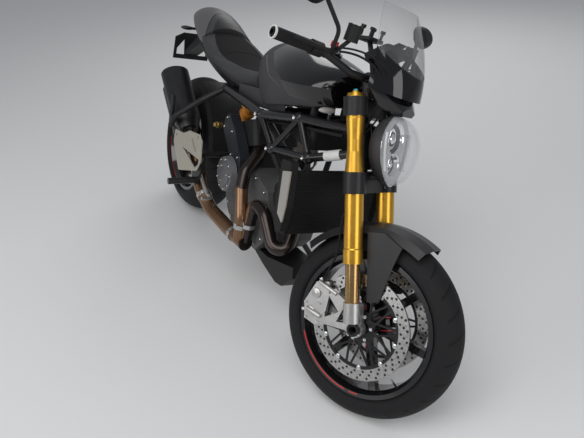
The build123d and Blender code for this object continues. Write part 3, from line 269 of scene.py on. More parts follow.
def finish(name, colour, second, roughness, spread, scale, bump, metallic=0.0, coat=0.0, shine=0.5,
           bump_scale=None):
    """A material of two mixed colours, varied roughness and a fine bump."""
    material, shade, tree = shader(name)
    point = object_point(tree)
    patches = noise(tree, point, scale, 4)
    tree.links.new(mixed(tree, "RGBA", patches, (*colour, 1), (*second, 1)), shade.inputs["Base Color"])
    smoothest, roughest = max(0.02, roughness - spread), min(1.0, roughness + spread)
    tree.links.new(ranged(tree, patches, smoothest, roughest), shade.inputs["Roughness"])
    bumped(tree, shade, noise(tree, point, bump_scale or scale * 8, 3), bump, 0.002)
    shade.inputs["Metallic"].default_value = metallic
    shade.inputs["Coat Weight"].default_value = coat
    shade.inputs["Coat Roughness"].default_value = 0.04
    shade.inputs["Specular IOR Level"].default_value = shine
    return material


def add_finishes(rows):
    """One finish for each row of a table."""
    for name, (*numbers, settings) in rows.items():
        finishes[name] = finish(name, *numbers, **settings)
    print(", ".join(rows))


# %% [markdown]
# Paints, plastics and rubber. The tank's inset, the nose cowl and the wheels are glossy under a clear coat,
# the tank's border, the mudguard and the headlight are matt, and most small parts are grained black
# plastic. Their blacks are kept apart a little, as they are on the real motorcycle.

# %% Paints, plastics and rubber
# Columns: colour, second colour, roughness, its spread, size of the pattern, bump, other settings
add_finishes({
    "gloss_black": ((0.004, 0.004, 0.005), (0.007, 0.007, 0.008), 0.14, 0.03, 6, 0.01,
                    {"coat": 0.5, "shine": 0.3}),
    "matt_grey": ((0.034, 0.033, 0.035), (0.046, 0.045, 0.048), 0.50, 0.06, 25, 0.06, {"shine": 0.35}),
    "hump_grey": ((0.085, 0.083, 0.086), (0.110, 0.108, 0.112), 0.44, 0.05, 20, 0.05, {}),
    "black_plastic": ((0.006, 0.006, 0.006), (0.013, 0.013, 0.014), 0.52, 0.10, 60, 0.18,
                      {"bump_scale": 900, "shine": 0.3}),
    "frame_black": ((0.006, 0.006, 0.007), (0.012, 0.012, 0.013), 0.28, 0.07, 30, 0.05,
                    {"coat": 0.3, "shine": 0.35}),
    "wheel_black": ((0.004, 0.004, 0.005), (0.008, 0.008, 0.009), 0.18, 0.05, 20, 0.03, {"coat": 0.7}),
    "silencer_black": ((0.008, 0.008, 0.009), (0.016, 0.016, 0.017), 0.36, 0.08, 30, 0.10, {"shine": 0.4}),
    "mudguard_black": ((0.014, 0.0135, 0.0145), (0.020, 0.019, 0.0205), 0.40, 0.06, 25, 0.06,
                       {"shine": 0.4}),
    "rubber_black": ((0.006, 0.006, 0.007), (0.011, 0.011, 0.012), 0.72, 0.08, 55, 0.25, {"shine": 0.3}),
    "core_black": ((0.006, 0.006, 0.006), (0.014, 0.014, 0.014), 0.60, 0.08, 60, 0.3, {"shine": 0.25}),
    "spring_orange": ((0.50, 0.17, 0.02), (0.66, 0.27, 0.04), 0.38, 0.06, 30, 0.05, {}),
    "accent_red": ((0.50, 0.008, 0.010), (0.60, 0.018, 0.016), 0.30, 0.05, 30, 0.02, {"coat": 0.5}),
    "white_sleeve": ((0.62, 0.62, 0.60), (0.70, 0.70, 0.68), 0.45, 0.06, 40, 0.05, {}),
    "red_lens": ((0.42, 0.006, 0.006), (0.52, 0.012, 0.010), 0.14, 0.05, 30, 0.02, {"coat": 0.8}),
    "almond_lens": ((0.34, 0.33, 0.31), (0.44, 0.43, 0.40), 0.16, 0.05, 30, 0.02, {"coat": 0.8}),
    "seat_grey": ((0.036, 0.036, 0.039), (0.048, 0.048, 0.052), 0.62, 0.08, 30, 0.35,
                  {"shine": 0.35, "bump_scale": 420}),
    "seat_black": ((0.007, 0.007, 0.008), (0.013, 0.012, 0.013), 0.80, 0.08, 60, 0.6,
                   {"shine": 0.2, "bump_scale": 900})})

# %% [markdown]
# Metals: rough grey castings, bright bolts and ground brake bands, the gold fork tubes over their bronze
# stanchions, and the header, brown from its heat. A bare metal has a Metallic near 1 and takes its colour
# from its reflections, while painted or anodised castings stay well below that.

# %% Metals
add_finishes({
    "cast_grey": ((0.085, 0.084, 0.086), (0.135, 0.133, 0.136), 0.50, 0.10, 45, 0.30, {"metallic": 0.3}),
    "cover_grey": ((0.125, 0.125, 0.132), (0.175, 0.175, 0.182), 0.46, 0.08, 40, 0.16, {"metallic": 0.3}),
    "cover_blue": ((0.030, 0.032, 0.038), (0.046, 0.049, 0.057), 0.32, 0.06, 18, 0.04, {"metallic": 0.4}),
    "casting_black": ((0.008, 0.008, 0.008), (0.018, 0.018, 0.019), 0.55, 0.10, 50, 0.30, {"shine": 0.3}),
    "anodised_black": ((0.008, 0.008, 0.009), (0.016, 0.016, 0.017), 0.36, 0.06, 60, 0.08,
                       {"metallic": 0.2, "shine": 0.4}),
    "satin_silver": ((0.44, 0.43, 0.42), (0.56, 0.55, 0.54), 0.36, 0.08, 50, 0.08, {"metallic": 0.9}),
    "shroud_silver": ((0.40, 0.385, 0.35), (0.50, 0.48, 0.44), 0.34, 0.06, 14, 0.03, {"metallic": 0.6}),
    "ground_steel": ((0.43, 0.42, 0.41), (0.53, 0.52, 0.51), 0.28, 0.10, 90, 0.05, {"metallic": 1.0}),
    "bolt_steel": ((0.55, 0.55, 0.56), (0.70, 0.70, 0.71), 0.25, 0.08, 120, 0.05, {"metallic": 1.0}),
    "gold_alloy": ((0.60, 0.32, 0.036), (0.70, 0.40, 0.062), 0.30, 0.07, 35, 0.06, {"metallic": 0.92}),
    "bronze_coat": ((0.30, 0.18, 0.07), (0.42, 0.27, 0.12), 0.18, 0.06, 25, 0.02, {"metallic": 0.9}),
    "header_bronze": ((0.16, 0.085, 0.045), (0.33, 0.20, 0.12), 0.30, 0.12, 9, 0.06, {"metallic": 0.9}),
    "header_dark": ((0.045, 0.036, 0.033), (0.085, 0.068, 0.060), 0.34, 0.10, 9, 0.06, {"metallic": 0.8}),
    "heel_alloy": ((0.42, 0.39, 0.32), (0.52, 0.49, 0.41), 0.40, 0.08, 40, 0.06, {"metallic": 0.6}),
    "brass_gold": ((0.50, 0.33, 0.11), (0.62, 0.45, 0.18), 0.30, 0.08, 30, 0.05, {"metallic": 0.9}),
    "oiled_steel": ((0.16, 0.14, 0.11), (0.28, 0.25, 0.20), 0.34, 0.10, 70, 0.12, {"metallic": 0.95}),
    "teal_anodised": ((0.02, 0.22, 0.26), (0.04, 0.30, 0.34), 0.30, 0.06, 60, 0.03, {"metallic": 0.7}),
    "mirror_glass": ((0.74, 0.76, 0.78), (0.78, 0.80, 0.82), 0.04, 0.02, 10, 0.0, {"metallic": 1.0}),
    "lamp_mirror": ((0.55, 0.55, 0.56), (0.75, 0.75, 0.76), 0.24, 0.08, 120, 0.5, {"metallic": 0.9}),
    "reflector": ((0.80, 0.80, 0.82), (0.88, 0.88, 0.90), 0.10, 0.04, 20, 0.01, {"metallic": 1.0})})

# %% [markdown]
# Clear plastic needs a little more thought. Transmission alone renders noisy behind a curved lens, so the
# screen and the headlight glass are made see-through by their Alpha, which a Layer Weight raises towards
# the edges: clear when looked through squarely, brighter along the rim, as real polycarbonate is.

# %% Clear plastics


def clear_plastic(name, tint, haze):
    """See-through plastic with faint smears in its roughness. Haze is how solid it looks squarely."""
    material, shade, tree = shader(name)
    smears = noise(tree, object_point(tree), 7, 2)
    tree.links.new(ranged(tree, smears, 0.02, 0.09), shade.inputs["Roughness"])
    shade.inputs["Base Color"].default_value = (*tint, 1)
    shade.inputs["IOR"].default_value = 1.5
    edge = tree.nodes.new("ShaderNodeLayerWeight")
    edge.inputs["Blend"].default_value = 0.28
    tree.links.new(ranged(tree, edge.outputs["Facing"], haze, 0.42), shade.inputs["Alpha"])
    return material


screen_tint = (0.30, 0.31, 0.32)
finishes["screen_clear"] = clear_plastic("screen_clear", screen_tint, 0.10)
finishes["lamp_clear"] = clear_plastic("lamp_clear", (0.72, 0.74, 0.76), 0.04)
print(len(finishes), "finishes")

# %% [markdown]
# Some pieces change their colour along a line. A cut in the mesh would need its own faces, so the line is
# found in the material instead: the shading point is brought back to a working frame, and a zone is given
# as planes there, each written as a normal and a distance. A point is in the zone when it lies in front of
# all its planes. The Mapping node undoes the lean, so the numbers are those of the upright motorcycle.

# %% Finishes that change along a line
black_paint = (0.004, 0.004, 0.005, 1)


def frame_point(tree, place):
    """The shading point in a working frame."""
    mapping = tree.nodes.new("ShaderNodeMapping")
    inverse = place.inverted()
    mapping.inputs["Rotation"].default_value = inverse.to_euler()
    mapping.inputs["Location"].default_value = inverse.translation
    tree.links.new(object_point(tree), mapping.inputs["Vector"])
    return mapping.outputs["Vector"]


def frame_axes(tree, place):
    """The shading point's X, Y and Z in a working frame."""
    split = tree.nodes.new("ShaderNodeSeparateXYZ")
    tree.links.new(frame_point(tree, place), split.inputs[0])
    return split.outputs


def arithmetic(tree, operation, first, second=0.0):
    """One Math node; either input is a number or another node's output."""
    node = tree.nodes.new("ShaderNodeMath")
    node.operation = operation
    for socket, value in zip(node.inputs, (first, second)):
        fed(tree, socket, value)
    return node.outputs[0]


def zone_depth(tree, point, zones):
    """How deep a point lies inside the nearest of several zones; below zero outside all of them."""
    inside = None
    for planes in zones:
        nearest = None
        for normal, distance in planes:
            dot = tree.nodes.new("ShaderNodeVectorMath")
            dot.operation = "DOT_PRODUCT"
            tree.links.new(point, dot.inputs[0])
            dot.inputs[1].default_value = normal
            depth = arithmetic(tree, "ADD", dot.outputs["Value"], distance)
            nearest = depth if nearest is None else arithmetic(tree, "MINIMUM", nearest, depth)
        inside = nearest if inside is None else arithmetic(tree, "MAXIMUM", inside, nearest)
    return inside


def two_tone(name, outer_name, inner_name, zones, place=chassis):
    """One finish outside and another in every zone."""
    inner = finishes[inner_name].node_tree.nodes["Principled BSDF"]
    material = finishes[outer_name].copy()
    material.name = name
    tree = material.node_tree
    shade = tree.nodes["Principled BSDF"]
    depth = zone_depth(tree, frame_point(tree, place), zones)
    step = ranged(tree, depth, 0.0, 1.0, -0.0004, 0.0004)
    inner_colour = source(inner, "Base Color").node.inputs[6].default_value
    inner_roughness = source(inner, "Roughness").node.inputs["To Min"].default_value
    colour = mixed(tree, "RGBA", step, source(shade, "Base Color"), inner_colour)
    roughness = mixed(tree, "FLOAT", step, source(shade, "Roughness"), inner_roughness)
    tree.links.new(colour, shade.inputs["Base Color"])
    tree.links.new(roughness, shade.inputs["Roughness"])
    for socket in ("Metallic", "Coat Weight"):
        outside, inside = shade.inputs[socket].default_value, inner.inputs[socket].default_value
        if outside != inside:
            tree.links.new(mixed(tree, "FLOAT", step, outside, inside), shade.inputs[socket])
    return material


print("two-tone helper ready")

# %% [markdown]
# The tank has a glossy black inset in a matt grey border; a gloss black band along its rear edge is painted
# shade in the crease's groove. The header is brown where it runs hot and dark in front and above. The
# indicators are clear in front of a black body, and the face of the headlight is bright inside its grey bowl.

# %% Two-tone finishes
tank_side = [((0.196, 0, 0.981), -1.0737), ((1, 0, 0), -0.728)]
tank_corner = [((0.8036, 0, 0.5952), -1.2917), ((-0.0995, 0, 0.995), -0.7597)]
# Painted shade: a thin gloss black band darkens the groove of the tank's crease.
tank_crease_shade = [((0.196, 0, 0.981), -1.0415), ((-0.196, 0, -0.981), 1.0465), ((1, 0, 0), -0.69),
               ((-1, 0, 0), 0.93)]
header_front, header_top = [((1, 0, 0), -0.886)], [((0, 0, 1), -0.455)]
rear_signals = [((-1, 0, 0), 0.2), ((0, 1, 0), 0.1), ((0, -1, 0), 0.1)]
signal_feet = [((0, 0, -1), 0.852)]
lamp_face = [((0, 0, 1), 0.001)]
# Columns: name, outer finish, inner finish, zones, working frame
two_tone_rows = (("tank_paint_and_crease_shade", "matt_grey", "gloss_black", [tank_side, tank_corner, tank_crease_shade], chassis),
                 ("header_paint", "header_bronze", "header_dark", [header_front, header_top], chassis),
                 ("signal_paint", "almond_lens", "black_plastic", [rear_signals, signal_feet], chassis),
                 ("lamp_paint", "matt_grey", "lamp_mirror", [lamp_face], lamp))
for name, outer_name, inner_name, zones, place in two_tone_rows:
    finishes[name] = two_tone(name, outer_name, inner_name, zones, place)
print(len(two_tone_rows), "two-tone finishes")

# %% [markdown]
# The lower half of the screen is painted black from inside, so that it runs on from the nose cowl. The
# paint ends along a slanted line, and below it the plastic is solid black instead of see-through.

# %% Painted screen
paint_height = 1.635
paint_slope = 0.45
screen_tree = finishes["screen_clear"].node_tree
screen_shade = screen_tree.nodes["Principled BSDF"]
screen_axes = frame_axes(screen_tree, cockpit)
slanted = arithmetic(screen_tree, "MULTIPLY", screen_axes["X"], paint_slope)
paint_top = arithmetic(screen_tree, "SUBTRACT", paint_height, slanted)
painted = arithmetic(screen_tree, "LESS_THAN", screen_axes["Z"], paint_top)
screen_colour = mixed(screen_tree, "RGBA", painted, (*screen_tint, 1), black_paint)
solid_part = arithmetic(screen_tree, "MAXIMUM", source(screen_shade, "Alpha"), painted)
screen_tree.links.new(screen_colour, screen_shade.inputs["Base Color"])
screen_tree.links.new(solid_part, screen_shade.inputs["Alpha"])
print("screen painted below", paint_height, "m")

# %% [markdown]
# The grey seat cowl meets the seat along a curved seam, and in front of the seam the seat's own colours run
# on. Three curved lines are enough: the dark seam, the seat's grey behind it and its black middle. Each
# crosses the middle of the cowl at one place and sweeps forwards with the square of the distance from it.

# %% Seat cowl
# Columns: where the line crosses the middle, how fast it sweeps forwards, colour in front of it
cowl_rows = ((-0.012, 9.5, (0.002, 0.002, 0.002, 1)), (-0.005, 9.5, (0.040, 0.040, 0.043, 1)),
             (0.022, 14.0, (0.009, 0.009, 0.010, 1)))
finishes["cowl_paint"] = finishes["hump_grey"].copy()
finishes["cowl_paint"].name = "cowl_paint"
cowl_tree = finishes["cowl_paint"].node_tree
cowl_shade = cowl_tree.nodes["Principled BSDF"]
cowl_axes = frame_axes(cowl_tree, chassis)
sideways = arithmetic(cowl_tree, "POWER", cowl_axes["Y"], 2.0)
for start, sweep, colour in cowl_rows:
    reach = arithmetic(cowl_tree, "MULTIPLY", sideways, sweep)
    forward = arithmetic(cowl_tree, "SUBTRACT", cowl_axes["X"], reach)
    in_front = arithmetic(cowl_tree, "GREATER_THAN", forward, start)
    cowl_colour = mixed(cowl_tree, "RGBA", in_front, source(cowl_shade, "Base Color"), colour)
    cowl_tree.links.new(cowl_colour, cowl_shade.inputs["Base Color"])
print(len(cowl_rows), "lines on the seat cowl")

# %% [markdown]
# Every solid of the construction model gets its finish. The table lists the solids under each finish,
# because that is how one would sort the real parts: what is painted with the frame, what is bare plastic.

# %% Finishes for the construction solids


def dress(node, material):
    """Gives a solid of the construction model its material."""
    for slot in nodes[node].material_slots:
        slot.material = material


solids_by_finish = {
    "frame_black": ("trellis_frame", "swingarm", "swingarm_bridge", "side_stand"),
    "black_plastic": ("airbox", "tail_unit", "plate_bracket", "belly_pan", "rear_hugger", "instruments",
                      "hand_controls", "mirrors"),
    "anodised_black": ("filler_lid", "hub_carrier", "footrests", "rear_disc", "front_discs", "rear_axle",
                       "fork_yokes", "bar_clamps", "front_axle", "handlebar"),
    "rubber_black": ("seat", "rear_tyre", "front_tyre", "grips", "brake_hoses"),
    "wheel_black": ("rear_rim", "front_rim"),
    "oiled_steel": ("rear_sprocket", "chain"),
    "satin_silver": ("foot_levers", "fork_feet", "front_calipers"),
    "cast_grey": ("engine_block",), "casting_black": ("cylinders",), "cover_grey": ("engine_covers",),
    "cover_blue": ("belt_covers",), "tank_paint_and_crease_shade": ("fuel_tank",), "cowl_paint": ("seat_cowl",),
    "red_lens": ("rear_lamp",), "signal_paint": ("indicators",), "spring_orange": ("shock_absorber",),
    "header_paint": ("exhaust_pipes",), "silencer_black": ("silencers",), "heel_alloy": ("heel_guards",),
    "core_black": ("radiator",), "shroud_silver": ("radiator_covers",), "gold_alloy": ("fork_tubes",),
    "bronze_coat": ("fork_stanchions",), "lamp_paint": ("headlight_bowl",),
    "lamp_clear": ("headlight_lens",), "gloss_black": ("nose_cowl",), "screen_clear": ("screen",),
    "mudguard_black": ("front_mudguard",)}
for finish_name, solids in solids_by_finish.items():
    for node in solids:
        dress(node, finishes[finish_name])
print(sum(len(solids) for solids in solids_by_finish.values()), "of", len(nodes), "solids dressed")

# %% [markdown]
# Tyres keep the solid's form. Their tread is a pattern of curved grooves that repeats round the wheel. Cut
# in the mesh it would take many thousands of faces, so the material draws it: it reads the shading point in
# the wheel's own frame, turns it into an angle round the axle and a distance from the middle, and lowers
# the surface where a slanted band passes, darkening it there with painted shade. The sidewall gets fine
# rings.

# %% Tyres with tread


def tyre_rubber(name, place, repeats, slant, half_width):
    """Rubber with slanted grooves across the tread, darkened by painted shade, and fine rings on the
    sidewall.
    """
    groove_share, plain_middle, sidewall_radius = 0.13, 0.007, 0.255
    ring_pitch, ring_height, groove_depth = 1400.0, 0.05, 0.004
    material = finishes["rubber_black"].copy()
    material.name = name
    tree = material.node_tree
    shade = tree.nodes["Principled BSDF"]

    def maths(operation, first, second=0.0):
        return arithmetic(tree, operation, first, second)

    axes = frame_axes(tree, place)
    across = maths("ABSOLUTE", axes["Y"])
    around = maths("ARCTAN2", axes["Z"], axes["X"])
    phase = maths("ADD", maths("MULTIPLY", around, repeats / (2 * pi)), maths("MULTIPLY", across, slant))
    phase = maths("ADD", phase, maths("MULTIPLY", maths("SIGN", axes["Y"]), 0.25))
    band = maths("LESS_THAN", maths("FRACT", phase), groove_share)
    off_middle = maths("GREATER_THAN", across, plain_middle)
    on_tread = maths("LESS_THAN", across, half_width)
    groove = maths("MULTIPLY", band, maths("MULTIPLY", off_middle, on_tread))
    squares = maths("ADD", maths("POWER", axes["X"], 2.0), maths("POWER", axes["Z"], 2.0))
    radius = maths("POWER", squares, 0.5)
    rings = maths("MULTIPLY", maths("SINE", maths("MULTIPLY", radius, ring_pitch)), ring_height)
    sidewall = maths("LESS_THAN", radius, sidewall_radius)
    height = maths("SUBTRACT", maths("MULTIPLY", rings, sidewall), groove)
    bumped(tree, shade, height, 0.9, groove_depth)
    # Painted shade: the grooves are darkened as well as lowered.
    dark = mixed(tree, "RGBA", groove, source(shade, "Base Color"), (0.002, 0.002, 0.002, 1))
    tree.links.new(dark, shade.inputs["Base Color"])
    return material


# Columns: solid, working frame, grooves round the wheel, their slant, half width of the tread
tyre_rows = (("front_tyre", front_wheel, 26, 11.0, 0.050), ("rear_tyre", rear_wheel, 26, 7.5, 0.080))
for node, place, repeats, slant, half_width in tyre_rows:
    dress(node, tyre_rubber(node + "_rubber", place, repeats, slant, half_width))
print("tyres treaded")

# %% [markdown]
# New pieces are made from a few kinds of shape, each by one short function. The first turns a profile about
# an axis, which makes rings, dishes and sleeves. The second stands a cylinder on a place, and the third
# sinks a socket in its head to make a cap screw. They are placed by a matrix with Z along a direction.

# %% Turned shapes, pegs and bolts


def aimed(place, outward):
    """A matrix that puts a shape at a place with its Z axis along a direction."""
    return Matrix.Translation(Vector(place)) @ Vector(outward).to_track_quat("Z", "Y").to_matrix().to_4x4()


def lathe(rows, place=Matrix(), steps=48, angle=2 * pi):
    """A profile of (radius, height) rows turned about Z."""
    shape = bmesh.new()
    points = [shape.verts.new((radius, 0, height)) for radius, height in rows]
    edges = [shape.edges.new(pair) for pair in zip(points, points[1:])]
    bmesh.ops.spin(shape, geom=points + edges, cent=(0, 0, 0), axis=(0, 0, 1), angle=angle, steps=steps,
                   use_merge=angle > 6.28)
    bmesh.ops.remove_doubles(shape, verts=shape.verts[:], dist=1e-6)
    bmesh.ops.recalc_face_normals(shape, faces=shape.faces[:])
    shape.transform(place)
    return shape


def peg(place, outward, radius, height, sides=16, soft=0.0):
    """A cylinder that stands on a place, with its rims bevelled when soft is given."""
    shape = bmesh.new()
    bmesh.ops.create_cone(shape, cap_ends=True, segments=sides, radius1=radius, radius2=radius, depth=height,
                          matrix=aimed(place, outward) @ Matrix.Translation((0, 0, height / 2)))
    if soft:
        rims = [edge for edge in shape.edges if edge.calc_face_angle(0) > 1.2]
        bmesh.ops.bevel(shape, geom=rims, offset=soft, segments=2, profile=0.5, affect="EDGES", material=-1)
    return shape


def socket_bolt(place, outward, radius=0.005, height=0.005):
    """A cap screw with the socket sunk in its head."""
    shape = peg(place, outward, radius, height, 12, radius * 0.15)
    direction = Vector(outward).normalized()

    def outwardness(face):
        return face.calc_center_median().dot(direction) + face.normal.dot(direction)

    top = max(shape.faces, key=outwardness)
    bmesh.ops.inset_individual(shape, faces=[top], thickness=radius * 0.4, depth=-height * 0.5)
    return shape


print("turned shapes ready")

# %% [markdown]
# Flat parts start as a cube with soft edges. Cables, hoses and seams follow a path: a curve with a round
# bevel smooths the way between a few chosen points, and is turned into a mesh at once.

# %% Blocks and tubes


def block(size, place=(0, 0, 0), turn=Matrix(), soft=0.002):
    """A box with soft edges."""
    shape = bmesh.new()
    bmesh.ops.create_cube(shape, size=1,
                          matrix=Matrix.Translation(place) @ turn @ Matrix.Diagonal((*size, 1)))
    bmesh.ops.bevel(shape, geom=shape.edges[:], offset=soft, segments=2, profile=0.5, affect="EDGES",
                    material=-1)
    return shape


def tube(points, radius):
    """A round tube along a path that is smoothed between its points."""
    curve = bpy.data.curves.new("path", "CURVE")
    curve.dimensions = "3D"
    curve.bevel_depth, curve.bevel_resolution, curve.use_fill_caps = radius, 2, True
    spline = curve.splines.new("NURBS")
    spline.points.add(len(points) - 1)
    for point, place in zip(spline.points, points):
        point.co = (*place, 1)
    spline.order_u = min(4, len(points))
    spline.use_endpoint_u = True
    spline.resolution_u = 6
    holder = bpy.data.objects.new("path", curve)
    scene.collection.objects.link(holder)
    shape = bmesh.new()
    shape.from_mesh(holder.to_mesh())
    holder.to_mesh_clear()
    bpy.data.objects.remove(holder)
    bpy.data.curves.remove(curve)
    bmesh.ops.remove_doubles(shape, verts=shape.verts[:], dist=1e-6)
    bmesh.ops.recalc_face_normals(shape, faces=shape.faces[:])
    return shape


print("blocks and tubes ready")

# %% [markdown]
# Small shapes of one colour are gathered in one object, so that the motorcycle stays a manageable number of
# pieces. The object is carried from its working frame to the room and rides on one moving body. Bolts and
# holes often stand on a circle, so their places come from one function too, and a mirrored pair is made by
# a loop over both sides.

# %% From shapes to pieces
both = (-1, 1)
wheel_axis = turned(-pi / 2, "X")
round_angle = 35


def ridden(thing, body, place=None, *replaced):
    """Carries a new piece from its working frame to the room and gives it to a body."""
    if place is not None:
        thing.data.transform(place)
    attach(thing, body)
    for node in replaced:
        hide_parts(node)
    return thing


def piece(name, shapes, finish_name, body, place=None):
    """One object made from several shapes, on a body."""
    whole = bmesh.new()
    for shape in shapes:
        single = bpy.data.meshes.new("single")
        shape.to_mesh(single)
        shape.free()
        whole.from_mesh(single)
        bpy.data.meshes.remove(single)
    thing = new_object(name, whole, round_angle)
    thing.data.materials.append(finishes[finish_name])
    print(name, len(thing.data.polygons), "faces")
    return ridden(thing, body, place)


def ring(count, radius, phase=0.0):
    """Places spread evenly on a circle, as pairs of distances from its middle."""
    angles = [2 * pi * (number + phase) / count for number in range(count)]
    return [(radius * cos(angle), radius * sin(angle)) for angle in angles]


# %% [markdown]
# The brake bands are drilled. A skin under a millimetre thick lies on each face of each band: two circles
# and rings of small circles are filled between, which leaves the holes open, and the face is raised. The
# black band beneath shows through the holes, so no hole has to be cut through the solid.

# %% Drilled brake bands


def drilled_skin(inner, outer, hole_rows, hole_radius, height):
    """A thin ring with holes, at a height along the axle; each row of holes is (radius, count, phase)."""
    skin_thickness = 0.0007
    shape = bmesh.new()
    bmesh.ops.create_circle(shape, segments=96, radius=outer)
    bmesh.ops.create_circle(shape, segments=72, radius=inner)
    for radius, count, phase in hole_rows:
        for across, up in ring(count, radius, phase):
            bmesh.ops.create_circle(shape, segments=8, radius=hole_radius,
                                    matrix=Matrix.Translation((across, up, 0)))
    bmesh.ops.triangle_fill(shape, use_beauty=True, edges=shape.edges[:])
    raised = bmesh.ops.extrude_face_region(shape, geom=shape.faces[:])["geom"]
    top = [vertex for vertex in raised if isinstance(vertex, bmesh.types.BMVert)]
    bmesh.ops.translate(shape, verts=top, vec=(0, 0, skin_thickness))
    bmesh.ops.recalc_face_normals(shape, faces=shape.faces[:])
    shape.transform(Matrix.Translation((0, height, 0)) @ wheel_axis)
    return shape


front_holes = ((0.1365, 30, 0.0), (0.1470, 30, 0.33), (0.1575, 30, 0.66))
rear_holes = ((0.0985, 24, 0.0), (0.1070, 24, 0.33), (0.1155, 24, 0.66))
front_faces = (0.07255, 0.06675, -0.06745, -0.07325)
rear_faces = (0.05455, 0.04875)
front_skins = [drilled_skin(0.1295, 0.1648, front_holes, 0.0042, height) for height in front_faces]
rear_skins = [drilled_skin(0.0922, 0.1218, rear_holes, 0.0036, height) for height in rear_faces]
piece("front_brake_bands", front_skins, "ground_steel", "front_wheel", front_wheel)
piece("rear_brake_band", rear_skins, "ground_steel", "rear_wheel", rear_wheel)

# %% [markdown]
# Silver bobbins join each front band to its black carrier, so that the band can float a little when it gets
# hot. The carrier itself is held to the hub by six cap screws.

# %% Bobbins and carrier bolts
carrier_face = 0.0725
bobbins, carrier_bolts = [], []
for across, up in ring(10, 0.125, 0.5):
    for side in both:
        bobbins.append(peg((across, side * carrier_face, up), (0, side, 0), 0.0075, 0.0022, 16, 0.0006))
for across, up in ring(6, 0.040):
    for side in both:
        carrier_bolts.append(socket_bolt((across, side * carrier_face, up), (0, side, 0), 0.0055, 0.005))
piece("front_brake_bobbins", bobbins, "bolt_steel", "front_wheel", front_wheel)
piece("front_carrier_bolts", carrier_bolts, "bolt_steel", "front_wheel", front_wheel)

# %% [markdown]
# Each rim carries one thin red arc on either flange, with a short dash after it. A strip is a small
# rectangle spun part of the way round the axle, with its two ends closed. The strips of the right flange
# are mirrored, and their faces turned outwards again.

# %% Rim stripes
stripe_radius, stripe_width, stripe_height = 0.2168, 0.0040, 0.0004


def arc_strip(start, sweep):
    """A flat strip on a rim's flange, from a start angle over a sweep, both in degrees."""
    outer = stripe_radius + stripe_width
    shape = lathe([(stripe_radius, 0), (outer, 0), (outer, stripe_height), (stripe_radius, stripe_height),
                   (stripe_radius, 0)], steps=28, angle=radians(sweep))
    ends = [edge for edge in shape.edges if edge.is_boundary]
    bmesh.ops.holes_fill(shape, edges=ends, sides=4)
    bmesh.ops.recalc_face_normals(shape, faces=shape.faces[:])
    shape.transform(turned(radians(start), "Z"))
    return shape


swapped = Matrix.Diagonal((1, -1, 1, 1))
# Columns: body, working frame, distance of the flange from the middle
for body, place, flange in (("front_wheel", front_wheel, 0.0531), ("rear_wheel", rear_wheel, 0.0841)):
    arcs = []
    for side in both:
        mirror = swapped if side < 0 else Matrix()
        for start, sweep in ((192, 62), (258, 8)):
            strip = arc_strip(start, sweep)
            strip.transform(mirror @ Matrix.Translation((0, flange, 0)) @ wheel_axis @ swapped)
            bmesh.ops.recalc_face_normals(strip, faces=strip.faces[:])
            arcs.append(strip)
    piece(body + "_stripes", arcs, "accent_red", body, place)

# %% [markdown]
# Near the hub each forked spoke has a short red line along either edge, on both of its faces. The valve
# stands in the rim between two spokes, and leans to the side so that a pump can reach it.

# %% Spoke accents and valve
first_spoke = -113
accents = []
for number in range(3):
    turn_spoke = turned(-radians(first_spoke + 120 * number), "Y")
    for side in both:
        for edge in both:
            middle = turn_spoke @ Vector((0.060, side * 0.01325, edge * 0.0205))
            accents.append(block((0.040, 0.0005, 0.0028), middle, turn_spoke, 0.0001))
piece("front_spoke_accents", accents, "accent_red", "front_wheel", front_wheel)
valve_angle = radians(-62)
valve_root = Vector((0.204 * cos(valve_angle), -0.012, 0.204 * sin(valve_angle)))
valve_stem = peg(valve_root, -valve_root + Vector((0, -0.09, 0)), 0.0035, 0.024, 10, 0.0005)
piece("front_valve", [valve_stem], "bolt_steel", "front_wheel", front_wheel)

# %% [markdown]
# The headlight's bowl has two cups cut in it. Each gets a bright dish, which hides the cup's cut wall, a
# round lens in the middle of the dish and a dark ring round that lens. A thin white light guide runs down
# either edge. All of these but the guides are turned profiles, scaled from the radius of their cup.

# %% Headlight
# Columns: height above the lamp's middle, radius of the cup
dish_rows = ((0.034, 0.0485), (-0.044, 0.0345))
dishes, projectors, lens_rings = [], [], []
for height, radius in dish_rows:
    spot = Matrix.Translation((0, height, 0))
    dishes.append(lathe([(0.0005, -0.0285), (radius * 0.42, -0.0275), (radius * 0.74, -0.016),
                         (radius * 0.93, -0.004), (radius, 0.0004), (radius + 0.0015, 0.0012),
                         (radius + 0.002, -0.0002)], spot))
    projectors.append(lathe([(0.0002, -0.004), (radius * 0.20, -0.006), (radius * 0.34, -0.012),
                             (radius * 0.36, -0.022), (0.0002, -0.0265)], spot, 32))
    lens_rings.append(lathe([(radius * 0.38, -0.0265), (radius * 0.46, -0.0265), (radius * 0.46, -0.014),
                             (radius * 0.38, -0.012), (radius * 0.38, -0.0265)], spot, 32))
guide_points = ((-0.080, 0.052, 0.006), (-0.0865, 0.022, 0.006), (-0.080, -0.020, 0.006),
                (-0.062, -0.060, 0.006))
guides = [tube([(side * x, y, z) for x, y, z in guide_points], 0.0035) for side in both]
piece("headlight_dishes", dishes, "reflector", "fork", lamp)
piece("headlight_projectors", projectors, "mirror_glass", "fork", lamp)
piece("headlight_rings", lens_rings, "anodised_black", "fork", lamp)
piece("headlight_guides", guides, "white_sleeve", "fork", lamp)

# %% [markdown]
# Each fork leg has a blue-green adjuster in its cap, and the two yokes grip the legs by pinch bolts, two in
# front of each leg in either yoke. They are drawn in the steering frame, where the legs stand upright.

